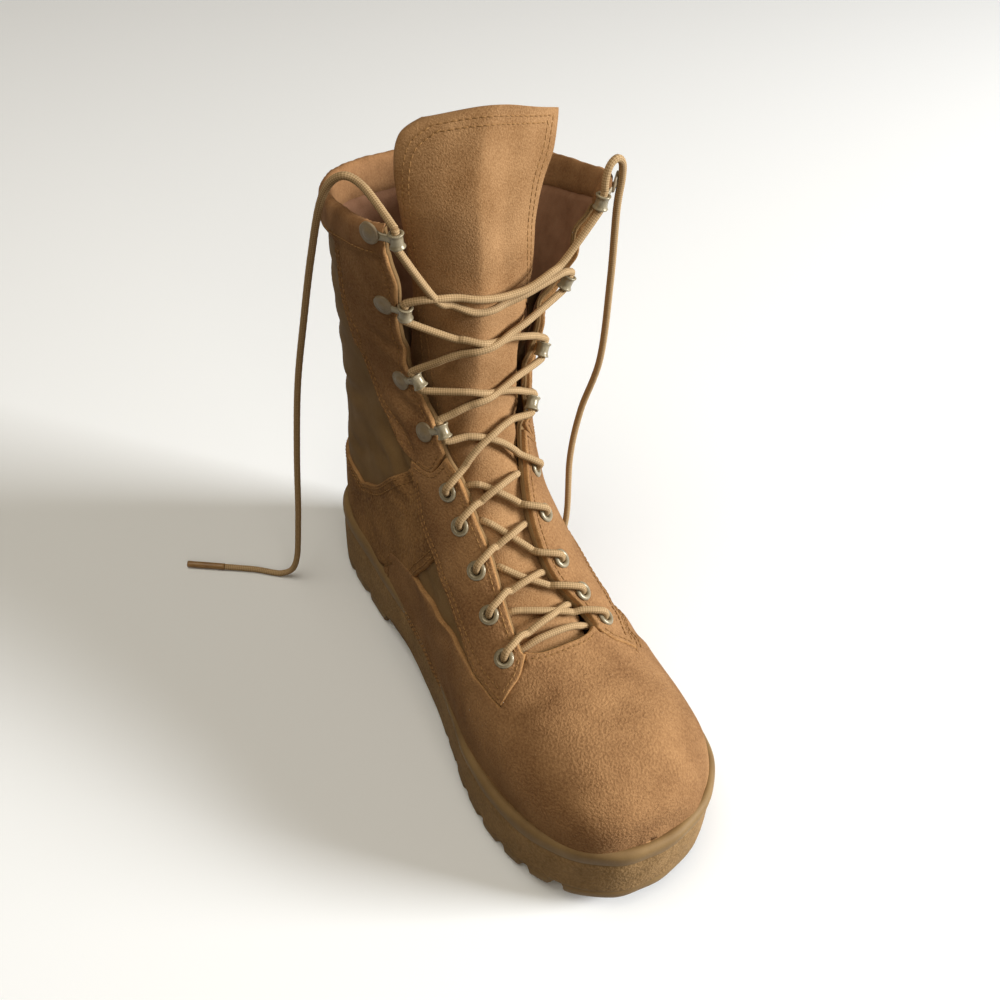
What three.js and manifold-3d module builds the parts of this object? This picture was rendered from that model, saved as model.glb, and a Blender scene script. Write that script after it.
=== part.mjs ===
// A lace-up combat boot for the left foot, standing on its sole: toe towards -Y, heel towards +Y,
// up +Z, the outer (lateral) side towards +X. Every length is in millimetres and every angle in
// degrees. "run" is the distance forward from the back of the heel; it becomes -Y in the solids.
import * as THREE from "three";
import { mergeVertices } from "three/addons/utils/BufferGeometryUtils.js";
import Module from "manifold-3d";

const wasm = await Module();
wasm.setup();
const { lerp, clamp, degToRad } = THREE.MathUtils;
const range = (count) => Array.from({ length: count }, (_, i) => i);
const named = (columns, row) => Object.fromEntries(columns.map((key, i) => [key, row[i]]));
const table = (columns, rows) => rows.map((row) => named(columns, row));

// ---------------------------------------------------------------- driving dimensions
const SHOE_LENGTH = 292; // outsole, heel to toe
const WALL = 2.4; // quarter fabric with its lining
const LEATHER = 1.8; // a suede overlay
const GAP = 0.3; // between neighbouring pieces
const OVERLAY = GAP + LEATHER; // outer face of the overlays, above the upper
const TONGUE_THICK = 3.2;
const TONGUE_CLEAR = 1; // between the upper's wall and the tongue
const INSOLE_THICK = 4;
const LACE_RADIUS = 1.8;
const SKIN_ROWS = 26; // mesh rows from toe to collar
const SKIN_STEPS = 22; // mesh steps round a section
const SIDES = table(["name", "side"], [["medial", -1], ["lateral", 1]]);

// ---------------------------------------------------------------- the last
// Sections fan from the toe tip (upright planes) round the instep to the collar (level planes).
// frontRun, frontZ: the end of the section on the toe's top, the instep or the shin.
// backRun, backZ: its other end, under the foot or up the back of the leg.
// inner, outer: reach to the medial and lateral side. widest: where, from back 0 to front 1.
// crown, base: how square the front and back halves are. ridge: sideways place of the front end.
// medial, lateral: where the two lacing edges lie across the foot.
const SECTIONS = table(
  [
    ...["at", "frontRun", "frontZ", "backRun", "backZ", "inner", "outer"],
    ...["widest", "crown", "base", "ridge", "medial", "lateral"],
  ],
  [
    ["toe tip", 285.5, 55, 285.5, 42, 13, 4, 0.5, 2, 2, -7, -25, 13],
    ["toe wall", 283.5, 62, 283.5, 20, 22.5, 20, 0.55, 2.2, 2.2, -7, -25, 13],
    ["toe round", 278.5, 68.5, 278.5, 6, 31, 29, 0.55, 2.3, 2.6, -7, -25, 13],
    ["toe cap", 269.5, 75.5, 269.5, -3, 38, 38.5, 0.55, 2.3, 2.6, -7, -25, 13],
    ["toe box", 257, 81, 257, -6, 43, 46.5, 0.54, 2.3, 2.5, -6.5, -25, 13],
    ["box back", 240, 85, 240, -6, 46.5, 51, 0.51, 2.3, 2.4, -7.5, -25, 13],
    ["ball", 219, 90, 219, -6, 48, 53, 0.48, 2.2, 2.4, -8, -25, 13],
    ["throat", 200, 99, 197, -6, 47.5, 52, 0.45, 2.1, 2.3, -8.5, -25, 13],
    ["waist", 183, 111.5, 174, -6, 45, 47.5, 0.42, 2.1, 2.3, -8.5, -23.5, 3],
    ["instep", 167, 125, 148, -6, 41.5, 44.5, 0.39, 2.1, 2.3, -8, -21.5, 1.5],
    ["arch", 153, 138.5, 118, -6, 38.5, 40.5, 0.37, 2.2, 2.4, -7, -21.8, 4],
    ["heel breast", 142, 152, 86, -6, 37, 38, 0.36, 2.3, 2.6, -6, -22.2, 9],
    ["heel seat", 134, 165, 52, -5, 36.5, 37.5, 0.37, 2.5, 2.7, -4.5, -25, 13.5],
    ["heel corner", 128.5, 177, 20, 6, 36.5, 37.5, 0.39, 2.7, 2.8, -3, -25.5, 20],
    ["heel back", 125, 188, 6.5, 34, 36.5, 37.5, 0.43, 2.8, 2.6, -1, -27.5, 24.5],
    ["counter", 123, 198, 4.5, 66, 37, 37.5, 0.46, 2.9, 2.4, 0, -29.5, 28.5],
    ["tendon", 121.5, 208, 7, 97, 38, 39, 0.48, 3, 2.3, 1.5, -32, 33],
    ["ankle top", 120.5, 218.5, 12.5, 128, 40.5, 42, 0.52, 3.1, 2.4, 3, -34.5, 38],
    ["low shaft", 120, 229, 16, 158, 44, 46, 0.57, 3.3, 2.5, 4.5, -37, 44],
    ["mid shaft", 119, 240, 14.5, 188, 46.5, 51.5, 0.64, 3.5, 2.5, 6, -39, 49.5],
    ["high shaft", 118, 251, 10.5, 217, 48, 58, 0.72, 3.7, 2.5, 8, -41.5, 54],
    ["collar", 117, 268, 7, 243.5, 48.5, 64, 0.78, 3.8, 2.5, 10, -43.7, 58],
    ["above the collar", 112, 286, 3, 270, 49, 66, 0.78, 3.8, 2.5, 10, -45, 60],
    ["tongue top", 106, 304, 0, 296, 49, 67, 0.78, 3.8, 2.5, 10, -45, 60],
  ],
);
const COLLAR = SECTIONS.findIndex((row) => row.at === "collar");
const TOP = SECTIONS.length - 1;

// A smooth value from a column: place runs along the rows, 0, 1, 2 and on.
function spline(rows, place, key) {
  const last = rows.length - 1;
  const held = clamp(place, 0, last);
  const i = Math.min(Math.floor(held), last - 1);
  const t = held - i;
  const [a, b, c, d] = [i - 1, i, i + 1, i + 2].map((k) => rows[clamp(k, 0, last)][key]);
  const [slope, curve, twist] = [c - a, 2 * a - 5 * b + 4 * c - d, 3 * b - a - 3 * c + d];
  return b + 0.5 * (slope * t + curve * t ** 2 + twist * t ** 3);
}

// A value part of the way along the foot: straight between rows that state their run.
function alongFoot(rows, run, key) {
  const i = Math.max(rows.findIndex((row) => row.run >= run), 1);
  const [a, b] = [rows[i - 1], rows[i]];
  return lerp(a[key], b[key], clamp((run - a.run) / (b.run - a.run), 0, 1));
}

// A point of the last. angle is 0 at the front end, positive on the lateral side, 180 at the back end.
function lastPoint(place, angle) {
  const get = (key) => spline(SECTIONS, place, key);
  const [c, w] = [Math.cos(degToRad(angle)), Math.sin(degToRad(angle))];
  const power = 2 / get(c > 0 ? "crown" : "base");
  const reach = Math.sign(c) * Math.abs(c) ** power;
  const side = Math.sign(w) * Math.abs(w) ** power;
  const [inner, outer, widest] = [get("inner"), get("outer"), get("widest")];
  const middle = (outer - inner) / 2;
  const along = widest + (c > 0 ? 1 - widest : widest) * reach;
  const across = middle + ((outer + inner) / 2) * side + (get("ridge") - middle) * Math.max(reach, 0);
  const run = lerp(get("backRun"), get("frontRun"), along);
  return new THREE.Vector3(across, -run, lerp(get("backZ"), get("frontZ"), along));
}

// Outward direction of the last's surface.
function lastNormal(place, angle) {
  const [low, high] = [Math.max(place - 0.1, 0.01), Math.min(place + 0.1, TOP)];
  const onward = lastPoint(high, angle).sub(lastPoint(low, angle));
  const round = lastPoint(place, angle + 1.5).sub(lastPoint(place, angle - 1.5));
  return round.cross(onward).normalize();
}

// A point off the last by a distance along its normal.
const skin = (place, angle, offset) =>
  lastPoint(place, angle).addScaledVector(lastNormal(place, angle), offset);

// The angle where a section reaches a place across the foot.
function angleAcross(place, across, side) {
  let [near, far] = [0, 90];
  while (far - near > 1e-5) {
    const middle = (near + far) / 2;
    if ((lastPoint(place, side * middle).x - across) * side < 0) near = middle;
    else far = middle;
  }
  return side * near;
}

// The lacing edge's angle on one side, or that of a point some way from it: plus is onto the leather.
const EDGE_STEP = 0.4; // degrees walked at a time
function edgeAngle(place, { name, side }, onLeather = 0) {
  let angle = angleAcross(place, spline(SECTIONS, place, name), side);
  const step = side * Math.sign(onLeather) * EDGE_STEP;
  for (let left = Math.abs(onLeather); left > 0; angle += step)
    left -= lastPoint(place, angle).distanceTo(lastPoint(place, angle + step));
  return angle;
}

// ---------------------------------------------------------------- solids
// A manifold solid from points and triangles, turned to face out.
function solid(points, triangles) {
  const vertProperties = new Float32Array(points.flatMap((v) => [v.x, v.y, v.z]));
  const build = (faces) =>
    new wasm.Manifold(new wasm.Mesh({ numProp: 3, vertProperties, triVerts: new Uint32Array(faces.flat()) }));
  const made = build(triangles);
  return made.volume() > 0 ? made : build(triangles.map(([a, b, c]) => [a, c, b]));
}

function fromGeometry(geometry) {
  const bare = geometry.clone().deleteAttribute("normal").deleteAttribute("uv");
  const { index, attributes } = mergeVertices(bare, 1e-3);
  const { position } = attributes;
  const points = range(position.count).map((i) => new THREE.Vector3().fromBufferAttribute(position, i));
  const triangles = range(index.count / 3).map((i) => [0, 1, 2].map((k) => index.getX(3 * i + k)));
  return solid(points, triangles);
}

// Rings of equal length joined one to the next: triangles of the wall between them.
function wallBetween(rings) {
  const n = rings[0].length;
  const triangles = [];
  for (let i = 0; i < rings.length - 1; i++)
    for (let j = 0; j < n; j++) {
      const next = (j + 1) % n;
      const [a, b, c, d] = [i * n + j, i * n + next, (i + 1) * n + next, (i + 1) * n + j];
      triangles.push([a, b, c], [a, c, d]);
    }
  return triangles;
}

// Joined rings with a fan to the middle at both ends.
function loft(rings) {
  const n = rings[0].length;
  const points = rings.flat();
  const triangles = wallBetween(rings);
  const top = (rings.length - 1) * n;
  for (const [first, flip] of [[0, true], [top, false]]) {
    const ring = points.slice(first, first + n);
    const hub = points.push(ring.reduce((sum, v) => sum.add(v), new THREE.Vector3()).divideScalar(n)) - 1;
    for (let j = 0; j < n; j++) {
      const edge = [first + j, first + ((j + 1) % n)];
      triangles.push(flip ? [hub, edge[1], edge[0]] : [hub, edge[0], edge[1]]);
    }
  }
  return solid(points, triangles);
}

// A sheet of leather: two grids of points, face to face, joined round their borders.
function sheet(outer, inner) {
  const [rows, steps] = [outer.length, outer[0].length];
  const points = [...outer.flat(), ...inner.flat()];
  const at = (i, j) => i * steps + j;
  const back = rows * steps;
  const triangles = [];
  const quad = (a, b, c, d) => triangles.push([a, b, c], [a, c, d]);
  for (let i = 0; i < rows - 1; i++)
    for (let j = 0; j < steps - 1; j++) {
      quad(at(i, j), at(i, j + 1), at(i + 1, j + 1), at(i + 1, j));
      quad(back + at(i, j), back + at(i + 1, j), back + at(i + 1, j + 1), back + at(i, j + 1));
    }
  for (let i = 0; i < rows - 1; i++)
    for (const [j, k] of [[0, 1], [steps - 1, -1]]) {
      const [a, b] = k > 0 ? [at(i, j), at(i + 1, j)] : [at(i + 1, j), at(i, j)];
      quad(a, b, back + b, back + a);
    }
  for (let j = 0; j < steps - 1; j++)
    for (const [i, k] of [[0, -1], [rows - 1, 1]]) {
      const [a, b] = k > 0 ? [at(i, j), at(i, j + 1)] : [at(i, j + 1), at(i, j)];
      quad(a, b, back + b, back + a);
    }
  return solid(points, triangles);
}

// The last swollen (or shrunk) by an offset, closed at the toe and cut level at a place.
function form(offset, end = COLLAR) {
  const ring = (place) => range(SKIN_STEPS).map((j) => skin(place, (360 * j) / SKIN_STEPS - 180, offset));
  const rings = range(SKIN_ROWS + 1).map((i) => ring((COLLAR * i) / SKIN_ROWS));
  return loft(end > COLLAR ? [...rings, ring(end)] : rings);
}

// A patch of skin between two offsets: its rows name a place and the angles it runs between.
function patch(rows, outer, inner, steps) {
  const across = ({ place, from, to }, offset) =>
    range(steps + 1).map((j) => skin(place, lerp(from, to, j / steps), offset));
  const grid = (offset) => rows.map((row) => across(row, offset));
  return sheet(grid(outer), grid(inner));
}

// An outline seen from the side, [run, z], right through the boot between two x.
const BEYOND = 150; // further out to either side than anything on the boot
function sideCut(outline, fromX = -BEYOND, toX = BEYOND) {
  const shape = new THREE.Shape(outline.map(([run, z]) => new THREE.Vector2(-run, z)));
  const body = new THREE.ExtrudeGeometry(shape, { depth: toX - fromX, bevelEnabled: false });
  const [x, y, z] = [new THREE.Vector3(1, 0, 0), new THREE.Vector3(0, 1, 0), new THREE.Vector3(0, 0, 1)];
  body.applyMatrix4(new THREE.Matrix4().makeBasis(y, z, x));
  return fromGeometry(body.translate(fromX, 0, 0));
}

// An outline brought in by a distance all round, so that two neighbours keep a gap.
function drawnIn(outline, distance) {
  const n = outline.length;
  const shape = outline.map(([run, z]) => new THREE.Vector2(run, z));
  const turn = Math.sign(THREE.ShapeUtils.area(shape)) * distance;
  return shape.map(({ x, y }, i) => {
    const along = shape[(i + 1) % n].clone().sub(shape[(i + n - 1) % n]).normalize();
    return [x - along.y * turn, y + along.x * turn];
  });
}

// ---------------------------------------------------------------- outsole
// The lip's outline seen from above, round by the outer side: run, and reach across.
const OUTLINE = table(
  ["run", "across"],
  [
    [0, 1], [6, 24], [28, 38], [75, 40.5], [115, 43], [150, 48.5], [185, 55.5], [215, 58.5],
    [243, 56], [266, 46.5], [283, 29.5], [291, 9], [SHOE_LENGTH, -8], [288, -24], [274, -39.5], [253, -49.5],
    [227, -53.5], [202, -52.5], [178, -47.5], [150, -42], [115, -39], [75, -39.5], [28, -38], [6, -24],
  ],
);
const OUTLINE_STEPS = 3;
// Heights along the foot: the tread's bottom (toe spring), the footbed, the top of the lip.
const HEIGHTS = table(
  ["run", "tread", "footbed", "lip"],
  [
    [-20, 0, 30, 49],
    [60, 0, 29, 48],
    [110, 0, 24, 43],
    [150, 0, 19, 40],
    [190, 0, 15, 37],
    [236, 0, 14.5, 39],
    [262, 4.5, 17, 44],
    [282, 8, 21, 47.5],
    [310, 13, 27, 50],
  ],
);
// The side wall from tread to lip: part of the way up, and how far it stands out of the outline.
const WALL_PROFILE = table(
  ["at", "up", "out"],
  [
    ["tread edge", 0, -3],
    ["tread bevel", 0.08, -1],
    ["lower band", 0.3, -0.5],
    ["grained band", 0.65, -0.6],
    ["groove", 0.73, -1.4],
    ["lip below", 0.79, 0],
    ["lip", 0.9, 0.3],
    ["lip top", 0.97, -0.8],
    ["lip inside", 1, -2.6],
  ],
);
// The hollow between heel and forefoot, seen from the side: [run, z].
const ARCH = [[78, -5], [82.5, 9], [90, 12], [108, 11.5], [130, 7.5], [150, 2.5], [158, -5]];

// Joined rings, each end closed straight across the foot, heel to toe.
function prism(rings) {
  const n = rings[0].length;
  const half = n / 2;
  const triangles = wallBetween(rings);
  const quad = (a, b, c, d) => triangles.push([a, b, c], [a, c, d]);
  const top = (rings.length - 1) * n;
  triangles.push([1, 0, n - 1], [half, half - 1, half + 1]);
  triangles.push([top, top + 1, top + n - 1], [top + half - 1, top + half, top + half + 1]);
  for (let j = 1; j < half - 1; j++) {
    quad(j + 1, j, n - j, n - j - 1);
    quad(top + j, top + j + 1, top + n - j - 1, top + n - j);
  }
  return solid(rings.flat(), triangles);
}

// The outsole's body: the outline swept up the wall profile.
function soleBlank() {
  const closed = [...OUTLINE.slice(-2), ...OUTLINE, ...OUTLINE.slice(0, 3)];
  const count = OUTLINE.length * OUTLINE_STEPS;
  const plan = range(count).map((i) => {
    const [across, run] = ["across", "run"].map((key) => spline(closed, 2 + i / OUTLINE_STEPS, key));
    return new THREE.Vector2(across, run);
  });
  const rings = WALL_PROFILE.map(({ up, out }) =>
    plan.map((here, i) => {
      const along = plan[(i + 1) % count].clone().sub(plan[(i + count - 1) % count]).normalize();
      const [x, run] = [here.x + along.y * out, here.y - along.x * out];
      const [low, high] = ["tread", "lip"].map((key) => alongFoot(HEIGHTS, here.y, key));
      return new THREE.Vector3(x, -run, lerp(low, high, up));
    }),
  );
  return prism(rings);
}

// Everything above the footbed, raised by a clearance.
function aboveFootbed(clearance) {
  const line = HEIGHTS.map(({ run, footbed }) => [run, footbed + clearance]);
  return sideCut([...line, [310, 400], [-20, 400]]);
}

// Grooves between the lugs: slanted bars out to each side, and a slot along the heel and the forefoot.
const LUG_BARS = [18, 38, 58, 172, 189, 206, 223, 240, 256, 271]; // runs
const BAR = { width: 60, along: 5, depth: 10, across: 38, turn: 0.24, sunk: 0.5 };
const SLOTS = table(
  ["under", "width", "along", "depth", "across", "run"],
  [
    ["heel", 6, 62, 9, 0, 37],
    ["forefoot", 7, 92, 9, -2, 208],
  ],
);
function lugGrooves() {
  const bars = SIDES.flatMap(({ side }) =>
    LUG_BARS.map((run) => {
      const bar = new THREE.BoxGeometry(BAR.width, BAR.along, BAR.depth).rotateZ(side * BAR.turn);
      const height = alongFoot(HEIGHTS, run, "tread") - BAR.sunk;
      return fromGeometry(bar.translate(side * BAR.across, -run, height));
    }),
  );
  const slots = SLOTS.map(({ width, along, depth, across, run }) =>
    fromGeometry(new THREE.BoxGeometry(width, along, depth).translate(across, -run, 0)),
  );
  return wasm.Manifold.union([...bars, ...slots]);
}

function outsole() {
  const cup = form(OVERLAY + GAP).intersect(aboveFootbed(0));
  return soleBlank().subtract(cup).subtract(sideCut(ARCH)).subtract(lugGrooves());
}

// ---------------------------------------------------------------- upper, insole, tongue
const THROAT_FRONT = 6.62; // place of the vamp's edge under the bottom lace bar
const THROAT_ROUNDING = [[0, 0.55], [0.06, 0.8], [0.16, 1]]; // [places behind the front, part of the width]
const THROAT_REACH = [9, -7]; // the cutter's offsets, outside and inside the upper

// The opening between the lacing edges, rounded at its front.
function throatOpening() {
  const rows = THROAT_ROUNDING.map(([on, part]) => ({ place: THROAT_FRONT + on, part }));
  for (let place = THROAT_FRONT + 1; place < TOP; place += 1) rows.push({ place, part: 1 });
  rows.push({ place: TOP, part: 1 });
  const spans = rows.map(({ place, part }) => {
    const [from, to] = SIDES.map((where) => edgeAngle(place, where));
    const middle = (from + to) / 2;
    return { place, from: lerp(middle, from, part), to: lerp(middle, to, part) };
  });
  return patch(spans, ...THROAT_REACH, 6);
}
const throat = throatOpening();

function upper() {
  const wall = form(0).subtract(form(-WALL, TOP));
  return wall.intersect(aboveFootbed(GAP)).subtract(throat);
}

function insole() {
  const inside = form(-WALL - GAP).intersect(aboveFootbed(GAP));
  return inside.subtract(aboveFootbed(GAP + INSOLE_THICK));
}

// The tongue's sides across the foot, from its root under the vamp to its free top.
const TONGUE = table(
  ["place", "medial", "lateral"],
  [
    [6.2, -23, 8],
    [7.5, -32, 15],
    [9, -30, 12],
    [11, -30, 16],
    [13, -33, 27],
    [15, -35, 32],
    [17, -37, 31],
    [19, -38.5, 28],
    [21, -40, 27],
    [22, -38.5, 31],
    [22.75, -34, 38],
    [22.95, -27, 35],
  ],
);
const TONGUE_ROOT = 12; // its front end, above the footbed
function tongue() {
  const rows = range(2 * TONGUE.length - 1).map((i) => {
    const [place, medial, lateral] = ["place", "medial", "lateral"].map((key) => spline(TONGUE, i / 2, key));
    return { place, from: angleAcross(place, medial, -1), to: angleAcross(place, lateral, 1) };
  });
  const outside = -WALL - TONGUE_CLEAR;
  return patch(rows, outside, outside - TONGUE_THICK, 8).intersect(aboveFootbed(GAP + TONGUE_ROOT));
}

// ---------------------------------------------------------------- suede overlays
// Outlines seen from the side, [run, z]; each is drawn in by half a seam from its neighbours.
const SEAM = 0.3;
const VAMP = [
  [320, 130], [206, 130], [206, 100], [208, 92], [215.5, 78.6], [201, 79.3], [188, 81.2], [178, 82],
  [165, 82], [142, 79], [119, 76], [96, 70], [86, 65], [82, 45], [80, -30], [320, -30],
];
const COUNTER = [
  [80, -30], [82, 45], [86, 65], [96, 70], [119, 76], [124, 79.5], [141, 105], [127, 112], [117, 124],
  [110.5, 140], [106, 134], [93, 119.5], [80, 105], [66, 94], [45, 88.5], [25, 88], [-20, 92], [-20, -30],
];
const EYESTAY = [
  [215.5, 78.6], [208, 92], [206, 100], [206, 130], [150, 190], [133, 168], [124, 153], [111, 143.5],
  [117, 124], [127, 112], [142, 104.5], [151, 99.8], [161, 96.5], [171, 92.5], [185, 85.2], [201, 79.3],
];
const FACING = [
  [111, 144.5], [124, 154], [133, 169], [150, 191], [160, 320], [66, 320], [69, 262], [68, 238], [66, 209],
  [73.5, 192], [78, 175], [84, 161], [97, 150.5],
];
const overlayShell = form(OVERLAY).subtract(form(GAP, TOP));
const overlaySkin = overlayShell.intersect(aboveFootbed(GAP + 1)).subtract(throat);
const overlay = (outline, fromX, toX) => overlaySkin.intersect(sideCut(drawnIn(outline, SEAM), fromX, toX));
const EYESTAY_SPLIT = -4; // x between the two eyestays

// A strip up the back of the leg, seen from behind: [x, z].
const BACKSTAY = [[-11, 93], [11, 93], [12, 180], [17, 300], [-3, 300], [-9, 180]];
const BACKSTAY_REACH = { from: 40, depth: 90 }; // from behind the heel, forwards
function backstay() {
  const shape = new THREE.Shape(BACKSTAY.map(([x, z]) => new THREE.Vector2(x, z)));
  const bar = new THREE.ExtrudeGeometry(shape, { depth: BACKSTAY_REACH.depth, bevelEnabled: false });
  const strip = fromGeometry(bar.rotateX(Math.PI / 2).translate(0, BACKSTAY_REACH.from, 0));
  const counter = sideCut(COUNTER.map(([run, z]) => [run, z + GAP]));
  return overlaySkin.intersect(strip).subtract(counter);
}

// ---------------------------------------------------------------- eyelets and lace loops
// Each pair's place along the lacing edges, on each side: eyelets first, then loops to the collar.
const EYELETS = table(
  ["pair", "medial", "lateral"],
  [
    [1, 6.95, 7],
    [2, 7.95, 7.65],
    [3, 8.95, 8.45],
    [4, 10.1, 9.6],
    [5, 11.1, 10.9],
  ],
);
const LOOPS = table(
  ["pair", "medial", "lateral"],
  [
    [4, 12.85, 12.9],
    [3, 15.3, 15.2],
    [2, 18.3, 17.9],
    [1, 20.75, 20.6],
  ],
);
const EYELET_INBOARD = 8; // from the lacing edge to the eyelet's middle
const EYELET_BORE = 2.3;
const EYELET_BARREL = 2.9;
const EYELET_FLANGE = 4.8;
const EYELET_HEM = 0.5; // the flange's rolled edge, sideways and in height
const DISC_INBOARD = 6.5;
const DISC_UP = 0.35; // the disc sits this much of a place above the loop
const LOOP_LIFT = 3.2; // the loop's axis above the upper
const LOOP_BEYOND = 4.6; // and beyond the lacing edge
const LOOP_MOUTH = 5; // where the lace leaves the loop, from its middle

// Axes on the skin: out of the leather, and up along the lacing edge.
function seat(place, where, inboard, offset) {
  const at = (along) => skin(along, edgeAngle(along, where, inboard), offset);
  const here = at(place);
  const out = lastNormal(place, edgeAngle(place, where, inboard));
  const up = at(place + 0.15).sub(here);
  up.addScaledVector(out, -up.dot(out)).normalize();
  return { here, out, up };
}

const turnOnto = (axis) => new THREE.Quaternion().setFromUnitVectors(new THREE.Vector3(0, 1, 0), axis);

// A lathe profile [radius, height] stood along an axis at a point.
function turned(profile, here, axis, segments) {
  const outline = [...profile, profile[0]].map(([r, h]) => new THREE.Vector2(r, h));
  const lathe = new THREE.LatheGeometry(outline, segments);
  lathe.applyQuaternion(turnOnto(axis));
  return fromGeometry(lathe.translate(here.x, here.y, here.z));
}

const EYELET_FOOT = GAP - WALL;
const EYELET_SEAT = OVERLAY + GAP + 0.2;
const EYELET_PROFILE = [
  [EYELET_BORE, EYELET_FOOT],
  [EYELET_BARREL, EYELET_FOOT],
  [EYELET_BARREL, EYELET_SEAT],
  [EYELET_FLANGE, EYELET_SEAT],
  [EYELET_FLANGE - EYELET_HEM, EYELET_SEAT + EYELET_HEM],
  [EYELET_BORE + EYELET_HEM, EYELET_SEAT + 2 * EYELET_HEM],
  [EYELET_BORE, EYELET_SEAT + EYELET_HEM],
];
function eyelet(place, where) {
  const { here, out } = seat(place, where, EYELET_INBOARD, 0);
  return turned(EYELET_PROFILE, here, out, 10);
}

function eyeletHole(place, where) {
  const { here, out } = seat(place, where, EYELET_INBOARD, 0);
  const radius = EYELET_BARREL + GAP;
  const drill = new THREE.CylinderGeometry(radius, radius + GAP / 2, 16, 10);
  drill.applyQuaternion(turnOnto(out));
  return fromGeometry(drill.translate(here.x, here.y, here.z));
}

// A riveted disc, a neck over the leather to its edge, and a flared tunnel for the lace.
const TUNNEL = [
  [2.3, -3.4], [3.9, -3.6], [3.9, -2.7], [3.1, -1.8],
  [3.1, 1.8], [3.9, 2.7], [3.9, 3.6], [2.3, 3.4],
];
const RIVET = [[0, 0], [4.8, 0], [4.8, 0.8], [3.4, 1.5], [0, 1.5]];
const NECK_HALF = 0.15; // half its width, in sections
const NECK_OFFSETS = [OVERLAY + GAP + 2.1, OVERLAY + GAP + 0.5];
const NECK_END = 2; // it stops this far short of the tunnel's axis
function laceLoop(place, where) {
  const disc = seat(place + DISC_UP, where, DISC_INBOARD, OVERLAY + GAP + 0.1);
  const loop = seat(place, where, -LOOP_BEYOND, LOOP_LIFT);
  const across = (along) => ({
    place: along,
    from: edgeAngle(along, where, DISC_INBOARD),
    to: edgeAngle(along, where, NECK_END - LOOP_BEYOND),
  });
  const neck = patch([across(place - NECK_HALF), across(place + NECK_HALF)], ...NECK_OFFSETS, 4);
  const tunnel = turned(TUNNEL, loop.here, loop.up, 10);
  return wasm.Manifold.union([turned(RIVET, disc.here, disc.out, 12), tunnel, neck]);
}

// ---------------------------------------------------------------- lace
// A round cord through some points.
function cord(points, radius, steps) {
  const round = new THREE.Shape().absarc(0, 0, radius, 0, 2 * Math.PI);
  const path = new THREE.CatmullRomCurve3(points);
  return fromGeometry(new THREE.ExtrudeGeometry(round, { steps, curveSegments: 3, extrudePath: path }));
}

// One strand over the tongue from a lacing edge to the other: lift is its height above the upper,
// short how far it stops before either edge.
function strand(fromPlace, toPlace, where, lift, short) {
  const other = SIDES.find(({ side }) => side !== where.side);
  const [from, to] = [edgeAngle(fromPlace, where, -short), edgeAngle(toPlace, other, -short)];
  const at = (t) => skin(lerp(fromPlace, toPlace, t), lerp(from, to, t), lift);
  return cord([0, 0.25, 0.5, 0.75, 1].map(at), LACE_RADIUS, 8);
}

// clear is how far past a pair's place, along the edge, its strands begin.
const AT_EYELETS = { lift: 0.8, short: 3.8, clear: 0.17 };
const AT_LOOPS = { lift: 1.6, short: 10.1, clear: 0.2 };
const PAIRS = [
  ...EYELETS.map((row) => ({ ...row, ...AT_EYELETS })),
  ...LOOPS.map((row) => ({ ...row, ...AT_LOOPS })),
];
function crossing(low, high) {
  const [lift, short] = [(low.lift + high.lift) / 2, Math.max(low.short, high.short)];
  const strands = SIDES.map((where) => {
    const other = where.side < 0 ? "lateral" : "medial";
    return strand(low[where.name] + low.clear, high[other] - high.clear, where, lift, short);
  });
  return wasm.Manifold.union(strands);
}

// The lace's first bar, between the bottom eyelets.
const BOTTOM_BAR = { below: 0.05, lift: 0.6, short: 4 };
function bottomBar() {
  const { medial, lateral } = EYELETS[0];
  const { below, lift, short } = BOTTOM_BAR;
  return strand(medial - below, lateral - below, SIDES[0], lift, short);
}

// The free ends leave the top loops, arch outwards, hang to the floor and lie along it.
const HANGING = {
  medial: [
    [-45.5, 92, 276], [-52, 84, 277.5], [-57, 76, 265], [-59, 64, 233], [-60.5, 52, 195], [-63, 41, 150],
    [-64.5, 33, 100], [-66, 28, 50], [-69, 24.5, 14], [-76, 19, 3], [-89, 8, 2.2], [-104, -2, 2.2],
  ],
  lateral: [
    [56.5, 117, 271.5], [60.5, 117, 275], [65, 114, 254], [71.5, 108, 210], [76, 101, 160], [74, 92, 122],
    [71, 91, 90], [69, 96, 50], [65, 93, 14], [62, 82, 3], [58, 60, 2.2], [58, 34, 2.2],
  ],
}; // [across, run, z]
function freeEnd(where) {
  const loop = seat(LOOPS.at(-1)[where.name], where, -LOOP_BEYOND, LOOP_LIFT);
  const mouth = loop.here.addScaledVector(loop.up, LOOP_MOUTH);
  return [mouth, ...HANGING[where.name].map(([across, run, z]) => new THREE.Vector3(across, -run, z))];
}

const laceEnd = (where) => cord(freeEnd(where), LACE_RADIUS, 32);

const AGLET = { length: 22, radius: 2 };
function aglet(where) {
  const [before, tip] = freeEnd(where).slice(-2);
  const on = tip.clone().sub(before).setZ(0).normalize();
  const start = tip.clone().addScaledVector(on, GAP);
  return cord([start, start.clone().addScaledVector(on, AGLET.length)], AGLET.radius, 1);
}

// ---------------------------------------------------------------- the boot
const SUEDE = { color: 0xa8835a, roughness: 0.95, metalness: 0 };
const FABRIC = { color: 0x8f7650, roughness: 0.8, metalness: 0 };
const RUBBER = { color: 0x9c8560, roughness: 0.75, metalness: 0 };
const LINING = { color: 0xa98a6c, roughness: 0.9, metalness: 0 };
const METAL = { color: 0xb3a68c, roughness: 0.4, metalness: 0.2 };
const BRAID = { color: 0xb09468, roughness: 0.85, metalness: 0 };
const TIP = { color: 0x9c8258, roughness: 0.45, metalness: 0 };

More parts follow.
